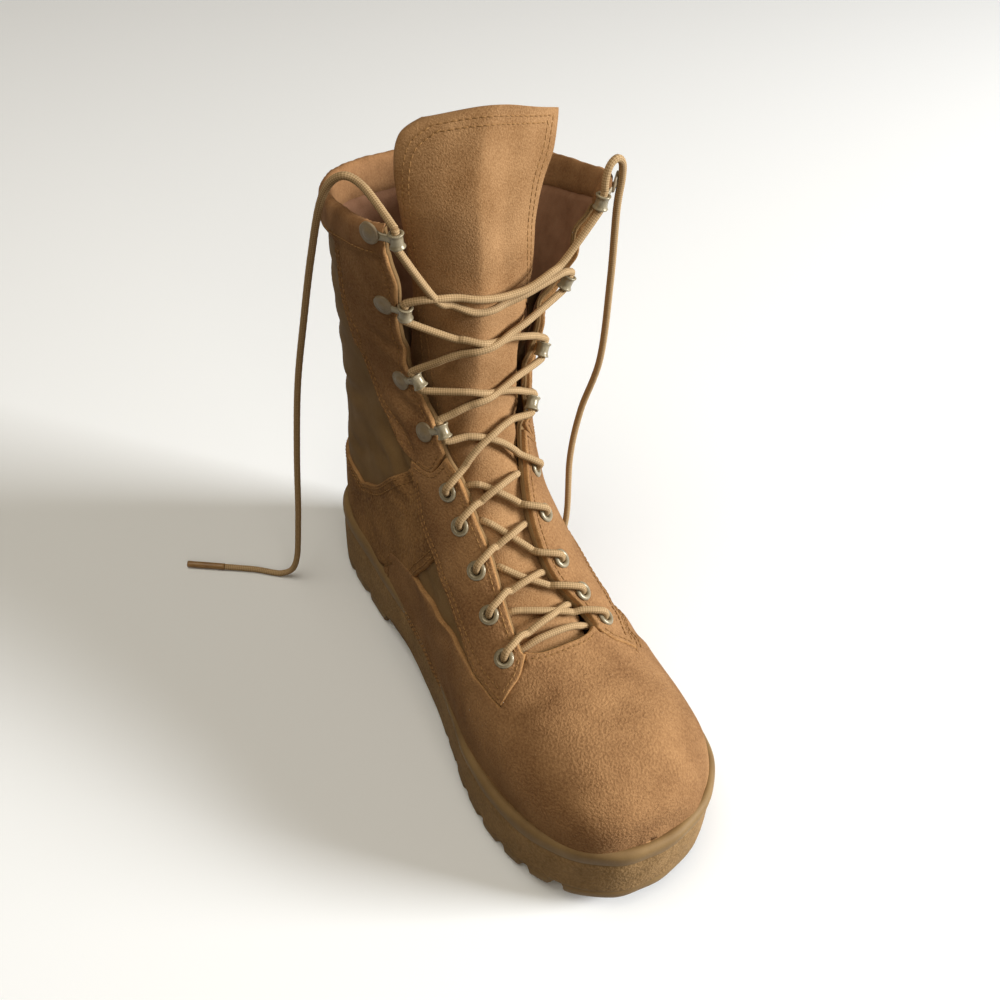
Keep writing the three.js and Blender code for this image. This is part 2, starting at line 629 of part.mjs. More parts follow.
const boot = new THREE.Group();
boot.name = "boot";
function add(name, body, look) {
  const { vertProperties, triVerts } = body.getMesh();
  const geometry = new THREE.BufferGeometry();
  geometry.setAttribute("position", new THREE.BufferAttribute(new Float32Array(vertProperties), 3));
  geometry.setIndex(new THREE.BufferAttribute(new Uint32Array(triVerts), 1));
  const mesh = new THREE.Mesh(geometry, new THREE.MeshStandardMaterial(look));
  mesh.name = name;
  boot.add(mesh);
}

const [medialHoles, lateralHoles] = SIDES.map((where) =>
  wasm.Manifold.union(EYELETS.map((row) => eyeletHole(row[where.name], where))),
);
add("outsole", outsole(), RUBBER);
add("upper", upper().subtract(medialHoles).subtract(lateralHoles), FABRIC);
add("insole", insole(), LINING);
add("tongue", tongue(), SUEDE);
add("vamp", overlay(VAMP), SUEDE);
add("counter", overlay(COUNTER), SUEDE);
add("backstay", backstay(), SUEDE);
add("eyestay_medial", overlay(EYESTAY, -BEYOND, EYESTAY_SPLIT).subtract(medialHoles), SUEDE);
add("eyestay_lateral", overlay(EYESTAY, EYESTAY_SPLIT, BEYOND).subtract(lateralHoles), SUEDE);
add("facing_medial", overlay(FACING, -BEYOND, 0), SUEDE);
add("facing_lateral", overlay(FACING, 0, BEYOND), SUEDE);
for (const where of SIDES) {
  const { name } = where;
  for (const row of EYELETS) add(`eyelet_${name}_${row.pair}`, eyelet(row[name], where), METAL);
  for (const row of LOOPS) add(`loop_${name}_${row.pair}`, laceLoop(row[name], where), METAL);
}
add("lace_bar", bottomBar(), BRAID);
for (const i of range(PAIRS.length - 1)) add(`lace_cross_${i + 1}`, crossing(PAIRS[i], PAIRS[i + 1]), BRAID);
for (const where of SIDES) {
  add(`lace_end_${where.name}`, laceEnd(where), BRAID);
  add(`aglet_${where.name}`, aglet(where), TIP);
}

// The origin is the middle of the boot's box without the free lace ends, on the floor.
const box = new THREE.Box3();
const fixed = boot.children.filter((mesh) => !/^(lace_end|aglet)/.test(mesh.name));
for (const mesh of fixed) box.expandByObject(mesh);
const middle = box.getCenter(new THREE.Vector3());
for (const mesh of boot.children) mesh.geometry.translate(-middle.x, -middle.y, -box.min.z);

export default boot;
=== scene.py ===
import math

import bpy
import numpy as np
from mathutils import Matrix, Vector
from mathutils.geometry import delaunay_2d_cdt


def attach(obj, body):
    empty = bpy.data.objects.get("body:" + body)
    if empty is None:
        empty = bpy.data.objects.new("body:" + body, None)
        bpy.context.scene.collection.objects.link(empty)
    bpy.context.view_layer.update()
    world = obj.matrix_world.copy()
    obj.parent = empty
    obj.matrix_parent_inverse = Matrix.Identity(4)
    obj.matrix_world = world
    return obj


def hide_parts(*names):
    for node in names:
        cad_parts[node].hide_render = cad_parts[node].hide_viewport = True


# ------------------------------------------------------------------ frame, camera and light
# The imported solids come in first. Lengths below are millimetres in the boot's own frame: across (+ to
# the outer side), -run (run is forward from the back of the heel) and up; MIDDLE leads to the row frame.
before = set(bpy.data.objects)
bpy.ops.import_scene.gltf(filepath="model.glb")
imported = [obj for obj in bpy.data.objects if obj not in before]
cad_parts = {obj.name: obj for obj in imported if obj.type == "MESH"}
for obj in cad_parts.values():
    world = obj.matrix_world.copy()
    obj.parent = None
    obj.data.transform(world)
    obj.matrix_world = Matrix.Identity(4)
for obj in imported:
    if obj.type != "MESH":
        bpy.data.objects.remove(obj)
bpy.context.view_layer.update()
MIDDLE = np.array([7.0125885, -146.14814147, 0.0])


def to_row(points):
    return (np.asarray(points, float) - MIDDLE) / 1000


# A three-quarter view from above, over the toe's inner side, with a short lens.
azimuth, elevation, roll = (math.radians(value) for value in (-31.37, 41.78, 2.96))
back = Vector((math.sin(azimuth), -math.cos(azimuth), 0)) * math.cos(elevation)
back.z = math.sin(elevation)
level = Vector((math.cos(azimuth), math.sin(azimuth), 0))
upright = back.cross(level)
camera = bpy.data.objects.new("camera", bpy.data.cameras.new("camera"))
bpy.context.collection.objects.link(camera)
camera.data.lens = 41.03
camera.data.sensor_width = 36
camera.data.clip_start = 0.01
right = level * math.cos(roll) + upright * math.sin(roll)
over = upright * math.cos(roll) - level * math.sin(roll)
facing_it = Matrix((right, over, back)).transposed().to_4x4()
camera.matrix_world = Matrix.Translation((-0.21962, -0.33862, 0.48836)) @ facing_it
bpy.context.scene.camera = camera

# A pale studio floor, a large soft key from the right, and weaker fills.
floor_mesh = bpy.data.meshes.new("floor")
floor_mesh.from_pydata([(-4, -4, 0), (4, -4, 0), (4, 4, 0), (-4, 4, 0)], [], [(0, 1, 2, 3)])
floor = bpy.data.objects.new("floor", floor_mesh)
bpy.context.collection.objects.link(floor)
floor_paint = bpy.data.materials.new("floor")
floor_paint.use_nodes = True
matt = floor_paint.node_tree.nodes["Principled BSDF"].inputs
matt["Base Color"].default_value, matt["Roughness"].default_value = (0.92, 0.96, 1, 1), 0.9
floor.data.materials.append(floor_paint)
floor.visible_diffuse = False  # a dark flag below: no bounce into the shaded side
world = bpy.data.worlds.new("studio")
world.use_nodes = True
glow = world.node_tree.nodes["Background"].inputs
glow["Color"].default_value, glow["Strength"].default_value = (1, 0.78, 0.52, 1), 0.1
bpy.context.scene.world = world
bpy.context.scene.view_settings.view_transform = "Standard"
for name, place, aim, size, power, tint in (
    ("key", (2.0, -1.5, 1.1), (0, 0, 0.1), 0.9, 116, (1, 0.985, 0.97)),
    ("top", (-0.7, -0.1, 2.4), (0, 0, 0.1), 1.8, 28, (1, 0.93, 0.8)),
    ("front", (-0.5, -2.2, 1.4), (0, 0, 0.1), 0.9, 9, (1, 0.9, 0.75)),
):
    lamp = bpy.data.objects.new(name, bpy.data.lights.new(name, "AREA"))
    lamp.data.size, lamp.data.energy, lamp.data.color = size, power, tint
    lamp.location = place
    lamp.rotation_mode = "QUATERNION"
    lamp.rotation_quaternion = (Vector(aim) - Vector(place)).to_track_quat("-Z", "Y")
    bpy.context.collection.objects.link(lamp)

# ------------------------------------------------------------------ upper
# Olive-tan fabric with its lining, drawn over a last: one hollow wall, 2.4 mm, open at the collar, the
# throat and under the foot. Its flap edges show two layers, and the collar's top is rolled.

# The last has the same sections as the solids: they fan from the toe tip (upright planes) round the instep
# to the collar (level planes). place runs along them; angle is 0 in front, + on the outer side, 180 behind.
LAST_COLUMNS = "front_run front_z back_run back_z inner outer widest crown base ridge medial lateral".split()
LAST = dict(zip(LAST_COLUMNS, np.array([
    [285.5, 55, 285.5, 42, 13, 4, 0.5, 2, 2, -7, -25, 13],  # 0 toe tip
    [283.5, 62, 283.5, 20, 22.5, 20, 0.55, 2.2, 2.2, -7, -25, 13],
    [278.5, 68.5, 278.5, 6, 31, 29, 0.55, 2.3, 2.6, -7, -25, 13],
    [269.5, 75.5, 269.5, -3, 38, 38.5, 0.55, 2.3, 2.6, -7, -25, 13],
    [257, 81, 257, -6, 43, 46.5, 0.54, 2.3, 2.5, -6.5, -25, 13],
    [240, 85, 240, -6, 46.5, 51, 0.51, 2.3, 2.4, -7.5, -25, 13],  # 5
    [219, 90, 219, -6, 48, 53, 0.48, 2.2, 2.4, -8, -25, 13],
    [200, 99, 197, -6, 47.5, 52, 0.45, 2.1, 2.3, -8.5, -25, 13],  # 7 throat
    [183, 111.5, 174, -6, 45, 47.5, 0.42, 2.1, 2.3, -8.5, -23.5, 3],
    [167, 125, 148, -6, 41.5, 44.5, 0.39, 2.1, 2.3, -8, -21.5, 1.5],
    [153, 138.5, 118, -6, 38.5, 40.5, 0.37, 2.2, 2.4, -7, -21.8, 4],  # 10 arch
    [142, 152, 86, -6, 37, 38, 0.36, 2.3, 2.6, -6, -22.2, 9],
    [134, 165, 52, -5, 36.5, 37.5, 0.37, 2.5, 2.7, -4.5, -25, 13.5],
    [128.5, 177, 20, 6, 36.5, 37.5, 0.39, 2.7, 2.8, -3, -25.5, 20],
    [125, 188, 6.5, 34, 36.5, 37.5, 0.43, 2.8, 2.6, -1, -27.5, 24.5],
    [123, 198, 4.5, 66, 37, 37.5, 0.46, 2.9, 2.4, 0, -29.5, 28.5],  # 15 counter
    [121.5, 208, 7, 97, 38, 39, 0.48, 3, 2.3, 1.5, -32, 33],
    [120.5, 218.5, 12.5, 128, 40.5, 42, 0.52, 3.1, 2.4, 3, -34.5, 38],
    [120, 229, 16, 158, 44, 46, 0.57, 3.3, 2.5, 4.5, -37, 44],
    [119, 240, 14.5, 188, 46.5, 51.5, 0.64, 3.5, 2.5, 6, -39, 49.5],
    [118, 251, 10.5, 217, 48, 58, 0.72, 3.7, 2.5, 8, -41.5, 54],  # 20
    [117, 268, 7, 243.5, 48.5, 64, 0.78, 3.8, 2.5, 10, -43.7, 58],  # 21 collar
    [112, 286, 3, 270, 49, 66, 0.78, 3.8, 2.5, 10, -45, 60],
    [106, 304, 0, 296, 49, 67, 0.78, 3.8, 2.5, 10, -45, 60],
]).T))
THROAT_FRONT = 6.62
DOME_X, DOME_Z, DOME_BULGE = -7, 48.5, 1.2  # the toe's own middle, and how far it bulges
WALL, LEATHER, GAP = 2.4, 1.8, 0.3
OVERLAY = GAP + LEATHER
SIDES = {"medial": -1, "lateral": 1}


def spline(column, place):
    """A smooth value from a column at places 0, 1, 2 and on."""
    column, last = np.asarray(column, float), len(column) - 1
    held = np.clip(place, 0, last)
    i = np.minimum(held.astype(int) if hasattr(held, "astype") else int(held), last - 1)
    t = held - i
    a, b, c, d = (column[np.clip(i + k, 0, last)] for k in (-1, 0, 1, 2))
    return b + 0.5 * ((c - a) * t + (2 * a - 5 * b + 4 * c - d) * t**2 + (3 * b - a - 3 * c + d) * t**3)


def last_point(place, angle):
    """Points of the last; places under 0 close the toe with a low dome."""
    place, angle = np.broadcast_arrays(np.asarray(place, float), np.radians(angle))
    get = {key: spline(column, place) for key, column in LAST.items()}
    c, w = np.cos(angle), np.sin(angle)
    power = 2 / np.where(c > 0, get["crown"], get["base"])
    reach, side = np.sign(c) * np.abs(c) ** power, np.sign(w) * np.abs(w) ** power
    middle = (get["outer"] - get["inner"]) / 2
    along = get["widest"] + np.where(c > 0, 1 - get["widest"], get["widest"]) * reach
    wide = (get["outer"] + get["inner"]) / 2
    across = middle + wide * side + (get["ridge"] - middle) * np.maximum(reach, 0)
    run = get["back_run"] + (get["front_run"] - get["back_run"]) * along
    up = get["back_z"] + (get["front_z"] - get["back_z"]) * along
    shrink = 1 + 2 * np.minimum(place, 0)
    across, up = DOME_X + (across - DOME_X) * shrink, DOME_Z + (up - DOME_Z) * shrink
    return np.stack([across, -(run + DOME_BULGE * (1 - shrink**2)), up], -1)


def on_last(path):
    """The points of the last along a (place, angle) path."""
    return last_point(path[:, 0], path[:, 1])


def last_normal(place, angle):
    place = np.asarray(place, float)
    low, high = np.maximum(place - 0.1, -0.49), np.minimum(place + 0.1, 23)
    onward = last_point(high, angle) - last_point(low, angle)
    around = last_point(place, np.asarray(angle) + 1.5) - last_point(place, np.asarray(angle) - 1.5)
    normal = np.cross(around, onward)
    return normal / np.maximum(np.linalg.norm(normal, axis=-1, keepdims=True), 1e-9)


def angle_across(place, across, side):
    """The angle where a section reaches a place across the foot."""
    near, far = np.zeros_like(place, float), np.full_like(place, 90, float)
    for _ in range(24):
        half = (near + far) / 2
        short = (last_point(place, side * half)[..., 0] - across) * side < 0
        near, far = np.where(short, half, near), np.where(short, far, half)
    return side * near


def edge_angle(place, side, onto=0.0):
    """The lacing edge's angle, or that of a point some way onto the leather (minus is into the opening)."""
    place = np.atleast_1d(np.asarray(place, float))
    angle = angle_across(place, spline(LAST["lateral" if side > 0 else "medial"], place), side)
    left, step = np.broadcast_to(np.abs(onto), place.shape).astype(float), side * np.sign(onto) * 0.4
    while (left > 0).any():
        moved = np.linalg.norm(last_point(place, angle) - last_point(place, angle + step), axis=-1)
        part = np.clip(left / moved, 0, 1)
        angle, left = angle + step * part, left - moved
    return angle


SCALLOP = 1.3
SCALLOP_SHARE = {1: 1.25, -1: 0.6}


def opening(place, side):
    """The lacing edge with its scallops; in front of the throat both sides meet on the ridge."""
    place = np.asarray(place, float)
    wave = SCALLOP * np.sin((place - 12.2) * 2.5) * np.clip((place - 11.9) / 0.8, 0, 1)
    edge = edge_angle(np.maximum(place, THROAT_FRONT), side, 0)
    slope = edge_angle(np.maximum(place, THROAT_FRONT), side, 1) - edge
    edge = edge + slope * wave * SCALLOP_SHARE[side]
    other = edge_angle(np.maximum(place, THROAT_FRONT), -side, 0)
    open_part = np.clip((place - THROAT_FRONT) / 0.16, 0, 1) ** 0.5
    middle = (edge + other) / 2
    return middle + (edge - middle) * np.where(place < THROAT_FRONT, 0, 0.5 + 0.5 * open_part)


grids = np.meshgrid(np.arange(0, 22, 0.08), np.arange(2, 178, 1.0), indexing="ij")
GRID_PLACE, GRID_ANGLE = (grid.ravel() for grid in grids)


def on_side(side, table):
    """(place, angle) of the points of the last that are seen from the side at (run, z)."""
    grid = last_point(GRID_PLACE, side * GRID_ANGLE)
    found = []
    for run, up in table:
        i = np.argmin((grid[:, 1] + run) ** 2 + (grid[:, 2] - up) ** 2)
        at = np.array([GRID_PLACE[i], side * GRID_ANGLE[i]])
        for _ in range(6):
            here = last_point(*at)[1:]
            onward = (last_point(at[0] + 0.01, at[1])[1:] - here) / 0.01
            around = (last_point(at[0], at[1] + 0.1)[1:] - here) / 0.1
            slopes = np.array([onward, around]).T
            if abs(np.linalg.det(slopes)) < 1e-3:
                break
            at = at + np.clip(np.linalg.solve(slopes, np.array([-run, up]) - here), [-0.3, -4], [0.3, 4])
        found.append(at)
    return np.array(found)


def travelled(line):
    """How far along a line each of its points is."""
    return np.concatenate([[0], np.cumsum(np.linalg.norm(np.diff(line, axis=0), axis=1))])


def taken_at(line, gone, at):
    """The points of a line at some distances along it."""
    return np.stack([np.interp(at, gone, column) for column in line.T], -1)


def curve(points, spacing=1.3):
    """A smooth path through (place, angle) points, with an even spacing along the leather."""
    points = np.asarray(points, float)
    fine = np.linspace(0, len(points) - 1, 40 * len(points))
    path = np.stack([spline(column, fine) for column in points.T], -1)
    gone = travelled(on_last(path))
    return taken_at(path, gone, np.linspace(0, gone[-1], max(int(gone[-1] / spacing), 2) + 1))


# Creases where the boot bends: each is a soft trough along a short path seen from the side, with a low
# ridge beside it. Columns: side, depth, half width, the path as (run, z).
CREASES = [
    ("medial", 2.6, 5.5, [(84, 150), (96, 137), (108, 128), (118, 124)]),
    ("medial", 1.8, 4.5, [(60, 128), (76, 124), (92, 126)]),
    ("medial", 1.2, 4.0, [(92, 112), (104, 116), (114, 116)]),
    ("medial", 1.3, 4.0, [(30, 112), (45, 108), (60, 112), (72, 118)]),
    ("medial", 1.5, 5.0, [(22, 150), (38, 144), (56, 146), (70, 154)]),
    ("medial", 1.1, 5.0, [(20, 190), (36, 182), (54, 184)]),
    ("medial", 1.0, 5.0, [(30, 222), (46, 214), (60, 216)]),
    ("medial", 1.6, 3.6, [(112, 146), (104, 152), (92, 160)]),
    ("medial", 1.2, 3.5, [(119, 170), (108, 168), (94, 176)]),
    ("medial", 0.9, 3.5, [(116, 200), (104, 200), (90, 207)]),
    ("medial", 1.0, 4.5, [(176, 88), (170, 82), (160, 74), (150, 64)]),
    ("medial", 0.9, 4.0, [(206, 84), (198, 72), (194, 60), (196, 50)]),
    ("medial", 0.8, 4.0, [(226, 86), (222, 74), (220, 62)]),
    ("medial", 0.9, 4.5, [(128, 92), (138, 84), (150, 80)]),
    ("lateral", 2.2, 5.5, [(84, 150), (96, 137), (108, 128), (118, 124)]),
    ("lateral", 1.6, 4.5, [(56, 126), (74, 122), (92, 126)]),
    ("lateral", 1.3, 5.0, [(22, 150), (38, 144), (58, 148), (74, 158)]),
    ("lateral", 1.1, 5.0, [(20, 192), (38, 184), (58, 188)]),
    ("lateral", 1.4, 3.6, [(112, 148), (102, 154), (90, 162)]),
    ("lateral", 1.1, 3.6, [(118, 186), (106, 184), (92, 190)]),
    ("lateral", 1.0, 4.0, [(206, 84), (200, 72), (198, 60)]),
    ("lateral", 0.8, 4.0, [(190, 84), (182, 74), (176, 62)]),
]
crease_paths = [(on_last(curve(on_side(SIDES[side], path), 2.0)), depth, half)
                for side, depth, half, path in CREASES]


def relief(place, angle, base):
    """How far the leather stands off the last: creases, floppy flaps, the padded collar, a lived-in unevenness."""
    place, angle = np.asarray(place), np.asarray(angle)
    height = np.zeros(base.shape[:-1])
    flat = base.reshape(-1, 3)
    total = height.reshape(-1)
    for line, depth, half in crease_paths:
        lo, hi = line.min(0) - 3 * half, line.max(0) + 3 * half
        near = np.flatnonzero(((flat > lo) & (flat < hi)).all(1))
        if not len(near):
            continue
        gaps = np.linalg.norm(flat[near, None] - line[None], axis=-1)
        k = gaps.argmin(1)
        gap = gaps[np.arange(len(near)), k]
        ends = np.sin(np.pi * np.clip(k / (len(line) - 1), 0.03, 0.97)) ** 0.6
        ridge = 0.42 * np.exp(-((gap - 1.7 * half) / (0.8 * half)) ** 2)
        total[near] += depth * ends * (ridge - np.exp(-((gap / half) ** 2)))
    for side in SIDES.values():
        close = np.clip(1 - (side * angle - np.abs(np.interp(place, places, OPENINGS[side]))) / 16, 0, 1)
        close = close * (side * angle > 0) * np.clip(place - 11.6, 0, 1)
        flop = np.sin((place - 12.6) * 2.3 + (1.1 if side > 0 else 0)) + 0.4 * np.sin(place * 5.1)
        height += close**2 * flop * (1.5 if side > 0 else 0.9)
    x, y, z = base[..., 0], base[..., 1], base[..., 2]
    height += 0.28 * np.sin(x * 0.11 + z * 0.07 + 1.3) * np.sin(y * 0.09 - z * 0.05)
    height += 0.16 * np.sin(y * 0.21 + x * 0.13) * np.sin(z * 0.19 + 2)
    band = np.clip((place - 20.25) / 0.12, 0, 1)
    return height + 0.9 * np.sin(np.pi / 2 * band)


# The lacing edge's angle over the whole length, looked up from a table made once.
places = np.linspace(THROAT_FRONT, 23, 330)
OPENINGS = {side: edge_angle(places, side) for side in SIDES.values()}


def skin(place, angle, offset):
    """Points off the last by an offset, creases and all."""
    base, normal = last_point(place, angle), last_normal(place, angle)
    return base + normal * (offset + relief(place, angle, base))[..., None]


def link(name, points, faces, material, replaced=(), uv=None):
    """A mesh piece of the boot: it rides on the root body and stands for the solids it replaces."""
    mesh = bpy.data.meshes.new(name)
    mesh.from_pydata(to_row(points).tolist(), [], [list(map(int, face)) for face in faces])
    mesh.polygons.foreach_set("use_smooth", [True] * len(mesh.polygons))
    if uv is not None:
        layer = mesh.uv_layers.new(name="along").data
        corners = np.zeros(len(mesh.loops), int)
        mesh.loops.foreach_get("vertex_index", corners)
        layer.foreach_set("uv", np.asarray(uv)[corners].ravel())
    mesh.materials.append(material)
    mesh.validate()
    piece = bpy.data.objects.new(name, mesh)
    bpy.context.collection.objects.link(piece)
    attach(piece, "root")
    if replaced:
        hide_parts(*replaced)
    return piece


def grid_faces(rows, steps, start=0, closed=False, flip=False):
    """Quads of a grid of points, row by row."""
    i, j = np.meshgrid(np.arange(rows - 1), np.arange(steps if closed else steps - 1), indexing="ij")
    k, row, above = (j + 1) % steps, i * steps, (i + 1) * steps
    quads = np.stack([row + j, row + k, above + k, above + j], -1).reshape(-1, 4) + start
    return quads[:, ::-1] if flip else quads


def colour(code):
    """A linear colour from a plain hex one."""
    parts = [int(code[k:k + 2], 16) / 255 for k in (0, 2, 4)]
    return (*[p / 12.92 if p < 0.04045 else ((p + 0.055) / 1.055) ** 2.4 for p in parts], 1)


def add_node(tree, kind, inputs=(), **settings):
    """A node with its settings, and its inputs given as values or as other nodes' outputs."""
    made = tree.nodes.new(kind)
    for key, value in settings.items():
        setattr(made, key, value)
    for key, value in dict(inputs).items():
        if isinstance(value, bpy.types.NodeSocket):
            tree.links.new(value, made.inputs[key])
        else:
            made.inputs[key].default_value = value
    return made.outputs


def surface(name, dark, light, roughness, mottle, nap, bump, sheen=0, patchy=0.5, fine=0.25, metal=0, deep=0.0004):
    """A two-tone material: soft patches, a fine nap over them, and the nap's own bump; scales are per metre."""
    made = bpy.data.materials.new(name)
    made.use_nodes = True
    tree = made.node_tree
    shader = tree.nodes["Principled BSDF"].inputs
    for key, value in {"Roughness": roughness, "Metallic": metal, "Sheen Weight": sheen, "Sheen Roughness": 0.45,
                       "Sheen Tint": colour(light), "Specular IOR Level": 0.5 if roughness < 0.6 else 0.25}.items():
        shader[key].default_value = value
    where = add_node(tree, "ShaderNodeTexCoord")["Object"]
    patches, hairs = (add_node(tree, "ShaderNodeTexNoise", {"Vector": where, "Scale": scale, "Detail": detail})["Fac"]
                      for scale, detail in ((mottle, 5), (nap, 3)))
    share = add_node(tree, "ShaderNodeMath", {0: hairs, 1: fine * 2, 2: 0.5 - fine}, operation="MULTIPLY_ADD")
    spread = add_node(tree, "ShaderNodeMath", {0: patches, 1: patchy * 3, 2: -patchy * 1.5}, operation="MULTIPLY_ADD")
    both = add_node(tree, "ShaderNodeMath", {0: share[0], 1: spread[0]}, use_clamp=True)
    tones = {"A": colour(dark), "B": colour(light), "Factor": both[0]}
    tree.links.new(add_node(tree, "ShaderNodeMix", tones, data_type="RGBA")["Result"], shader["Base Color"])
    relief_of = add_node(tree, "ShaderNodeBump", {"Strength": bump, "Distance": deep, "Height": hairs})
    tree.links.new(relief_of["Normal"], shader["Normal"])
    return made


# The upper stands on the footbed: (run, z).
FOOTBED = [(-20, 30), (60, 29), (110, 24), (150, 19), (190, 15), (236, 14.5), (262, 17), (282, 21), (310, 27)]


def footbed(run):
    return np.interp(run, *zip(*FOOTBED))


fabric = surface("fabric", "735936", "93764f", 0.8, 70, 1400, 0.4, patchy=0.4, fine=0.3)
lining = surface("lining", "7a563d", "9c755a", 0.85, 120, 1500, 0.2, sheen=0.2)
rows, steps = 226, 112
upper_place = np.concatenate([np.linspace(-0.5, 20.2, rows - 12), np.linspace(20.26, 20.97, 12)])
first, last = opening(upper_place, 1), 360 + opening(upper_place, -1)
share = np.linspace(0, 1, steps) - 0.03 * np.sin(np.linspace(0, 2 * np.pi, steps))
upper_angle = first[:, None] + (last - first)[:, None] * share
upper_place = np.repeat(upper_place[:, None], steps, 1)
shells = []
for offset in (0.0, -WALL):
    shell = skin(upper_place, upper_angle, offset)
    shell[..., 2] = np.maximum(shell[..., 2], footbed(-shell[..., 1]) + GAP)
    shells.append(shell)
outside, inside = shells
outward = last_normal(upper_place[-1], upper_angle[-1])
points = [outside.reshape(-1, 3), inside.reshape(-1, 3)]
count = rows * steps
faces = [grid_faces(rows, steps), grid_faces(rows, steps, count, flip=True)]
start = 2 * count
# The flap's edge: (depth into the wall, how far out).
RIM = [(0.25, 0.35), (0.75, 0.75), (1.2, 0.35), (1.45, 0.75), (2.0, 0.7), (2.3, 0.3)]
for border, step_in in ((0, 1), (steps - 1, -1)):
    top, low = outside[:, border], inside[:, border]
    depth_way = (low - top) / WALL
    out_way = outside[:, border] - outside[:, border + step_in]
    out_way /= np.linalg.norm(out_way, axis=-1, keepdims=True)
    strip = np.stack([top] + [top + depth_way * d + out_way * o for d, o in RIM] + [low], 1)
    points.append(strip.reshape(-1, 3))
    faces.append(grid_faces(rows, len(RIM) + 2, start, flip=border == 0))
    start += strip[..., 0].size
roll = [outside[-1] - outward * WALL / 2 * (1 - math.cos(t)) + np.array([0, 0, 1.1]) * math.sin(t)
        for t in np.linspace(0.4, math.pi - 0.4, 6)]
strip = np.stack([outside[-1]] + roll + [inside[-1]], 1)
points.append(strip.reshape(-1, 3))
faces.append(grid_faces(steps, 8, start))
upper = link("upper_shell", np.concatenate(points), np.concatenate(faces), fabric, ["upper"])
upper.data.materials.append(lining)
slots = np.zeros(len(upper.data.polygons), int)
slots[len(faces[0]):len(faces[0]) + len(faces[1])] = 1
upper.data.polygons.foreach_set("material_index", slots)


# ------------------------------------------------------------------ how a suede panel is cut, laid and sewn
# Each overlay is one piece of split leather: an outline over the last, a rounded cut edge, and rows of
# thread that pull it down.
def metric(path):
    """What a step in place and a step in angle measure over the leather: their squares and product."""
    here = on_last(path)
    u, v = (on_last(path + [0.02, 0]) - here) / 0.02, (on_last(path + [0, 0.5]) - here) / 0.5
    return (u * u).sum(-1), (u * v).sum(-1), (v * v).sum(-1)


def inset(path, distance):
    """The path moved to its left by a distance over the leather."""
    ahead = np.gradient(path, axis=0)
    e, f, g = metric(path)
    size = np.maximum(e * g - f * f, 1e-6)
    a, b = -ahead[:, 1], ahead[:, 0]
    way = np.stack([g * a - f * b, e * b - f * a], -1) / size[:, None]
    squared = e * way[:, 0] ** 2 + 2 * f * way[:, 0] * way[:, 1] + g * way[:, 1] ** 2
    return path + way / np.sqrt(np.maximum(squared, 1e-12))[:, None] * distance


def nearest(points, line):
    """Each point's distance from a line of points."""
    best = np.full(len(points), 1e9)
    for k in range(0, len(points), 4000):
        best[k:k + 4000] = np.sqrt(((points[k:k + 4000, None] - line[None]) ** 2).sum(-1).min(1))
    return best


# One stitch is a slim bead of thread, laid on every point of a row and turned along it.
stitches = bpy.data.node_groups.new("stitches", "GeometryNodeTree")
for socket, kind in (("Row", "Geometry"), ("Length", "Float"), ("Thickness", "Float"), ("Thread", "Material")):
    stitches.interface.new_socket(socket, in_out="INPUT", socket_type="NodeSocket" + kind)
stitches.interface.new_socket("Seam", in_out="OUTPUT", socket_type="NodeSocketGeometry")
given = add_node(stitches, "NodeGroupInput")
bead = add_node(stitches, "GeometryNodeMeshUVSphere", {"Segments": 6, "Rings": 5, "Radius": 0.5})
wide, long = given["Thickness"], given["Length"]
stretched = add_node(stitches, "ShaderNodeCombineXYZ", {"X": wide, "Y": wide, "Z": long})
shaped = add_node(stitches, "GeometryNodeTransform", {"Geometry": bead["Mesh"], "Scale": stretched["Vector"]})
ahead = add_node(stitches, "GeometryNodeInputNamedAttribute", {"Name": "ahead"}, data_type="FLOAT_VECTOR")
aimed = add_node(stitches, "FunctionNodeAlignRotationToVector", {"Vector": ahead["Attribute"]}, axis="Z")
on_points = {"Points": given["Row"], "Instance": shaped["Geometry"], "Rotation": aimed["Rotation"]}
laid = add_node(stitches, "GeometryNodeInstanceOnPoints", on_points)
real = add_node(stitches, "GeometryNodeRealizeInstances", {"Geometry": laid["Instances"]})
smooth = add_node(stitches, "GeometryNodeSetShadeSmooth", {"Geometry": real["Geometry"]})
sewn_in = {"Geometry": smooth["Geometry"], "Material": given["Thread"]}
painted = add_node(stitches, "GeometryNodeSetMaterial", sewn_in)
add_node(stitches, "NodeGroupOutput", {"Seam": painted["Geometry"]})
PITCH, STITCH, REACH = 2.9, 2.5, 0.8  # from stitch to stitch, a stitch's length, and how far its way is looked for


def sew(name, rows, thickness=0.76):
    """Rows of stitches as one piece. A row is a path and its height over the last, or its own points."""
    centres, ways = [], []
    for path, height in rows:
        line = height if np.ndim(height) == 2 else skin(path[:, 0], path[:, 1], height)
        gone = travelled(line)
        at = np.arange(PITCH / 2, gone[-1] - PITCH / 2, PITCH)
        centres.append(taken_at(line, gone, at))
        ways.append(taken_at(line, gone, at + REACH) - taken_at(line, gone, at - REACH))
    points = bpy.data.meshes.new(name)
    points.from_pydata(to_row(np.concatenate(centres)).tolist(), [], [])
    ahead = points.attributes.new("ahead", "FLOAT_VECTOR", "POINT").data
    ahead.foreach_set("vector", np.concatenate(ways).ravel())
    piece = bpy.data.objects.new(name, points)
    bpy.context.collection.objects.link(piece)
    sewing = piece.modifiers.new("stitches", "NODES")
    sewing.node_group = stitches
    sizes = {"Length": STITCH / 1000, "Thickness": thickness / 1000, "Thread": thread}
    for item in stitches.interface.items_tree:
        if item.name in sizes:
            sewing[item.identifier] = sizes[item.name]
    laid_out = piece.evaluated_get(bpy.context.evaluated_depsgraph_get())
    sewn = bpy.data.meshes.new_from_object(laid_out)
    piece.modifiers.clear()
    piece.data = sewn
    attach(piece, "root")


SEAM_TOP = 20.25  # the collar's binding covers what is above


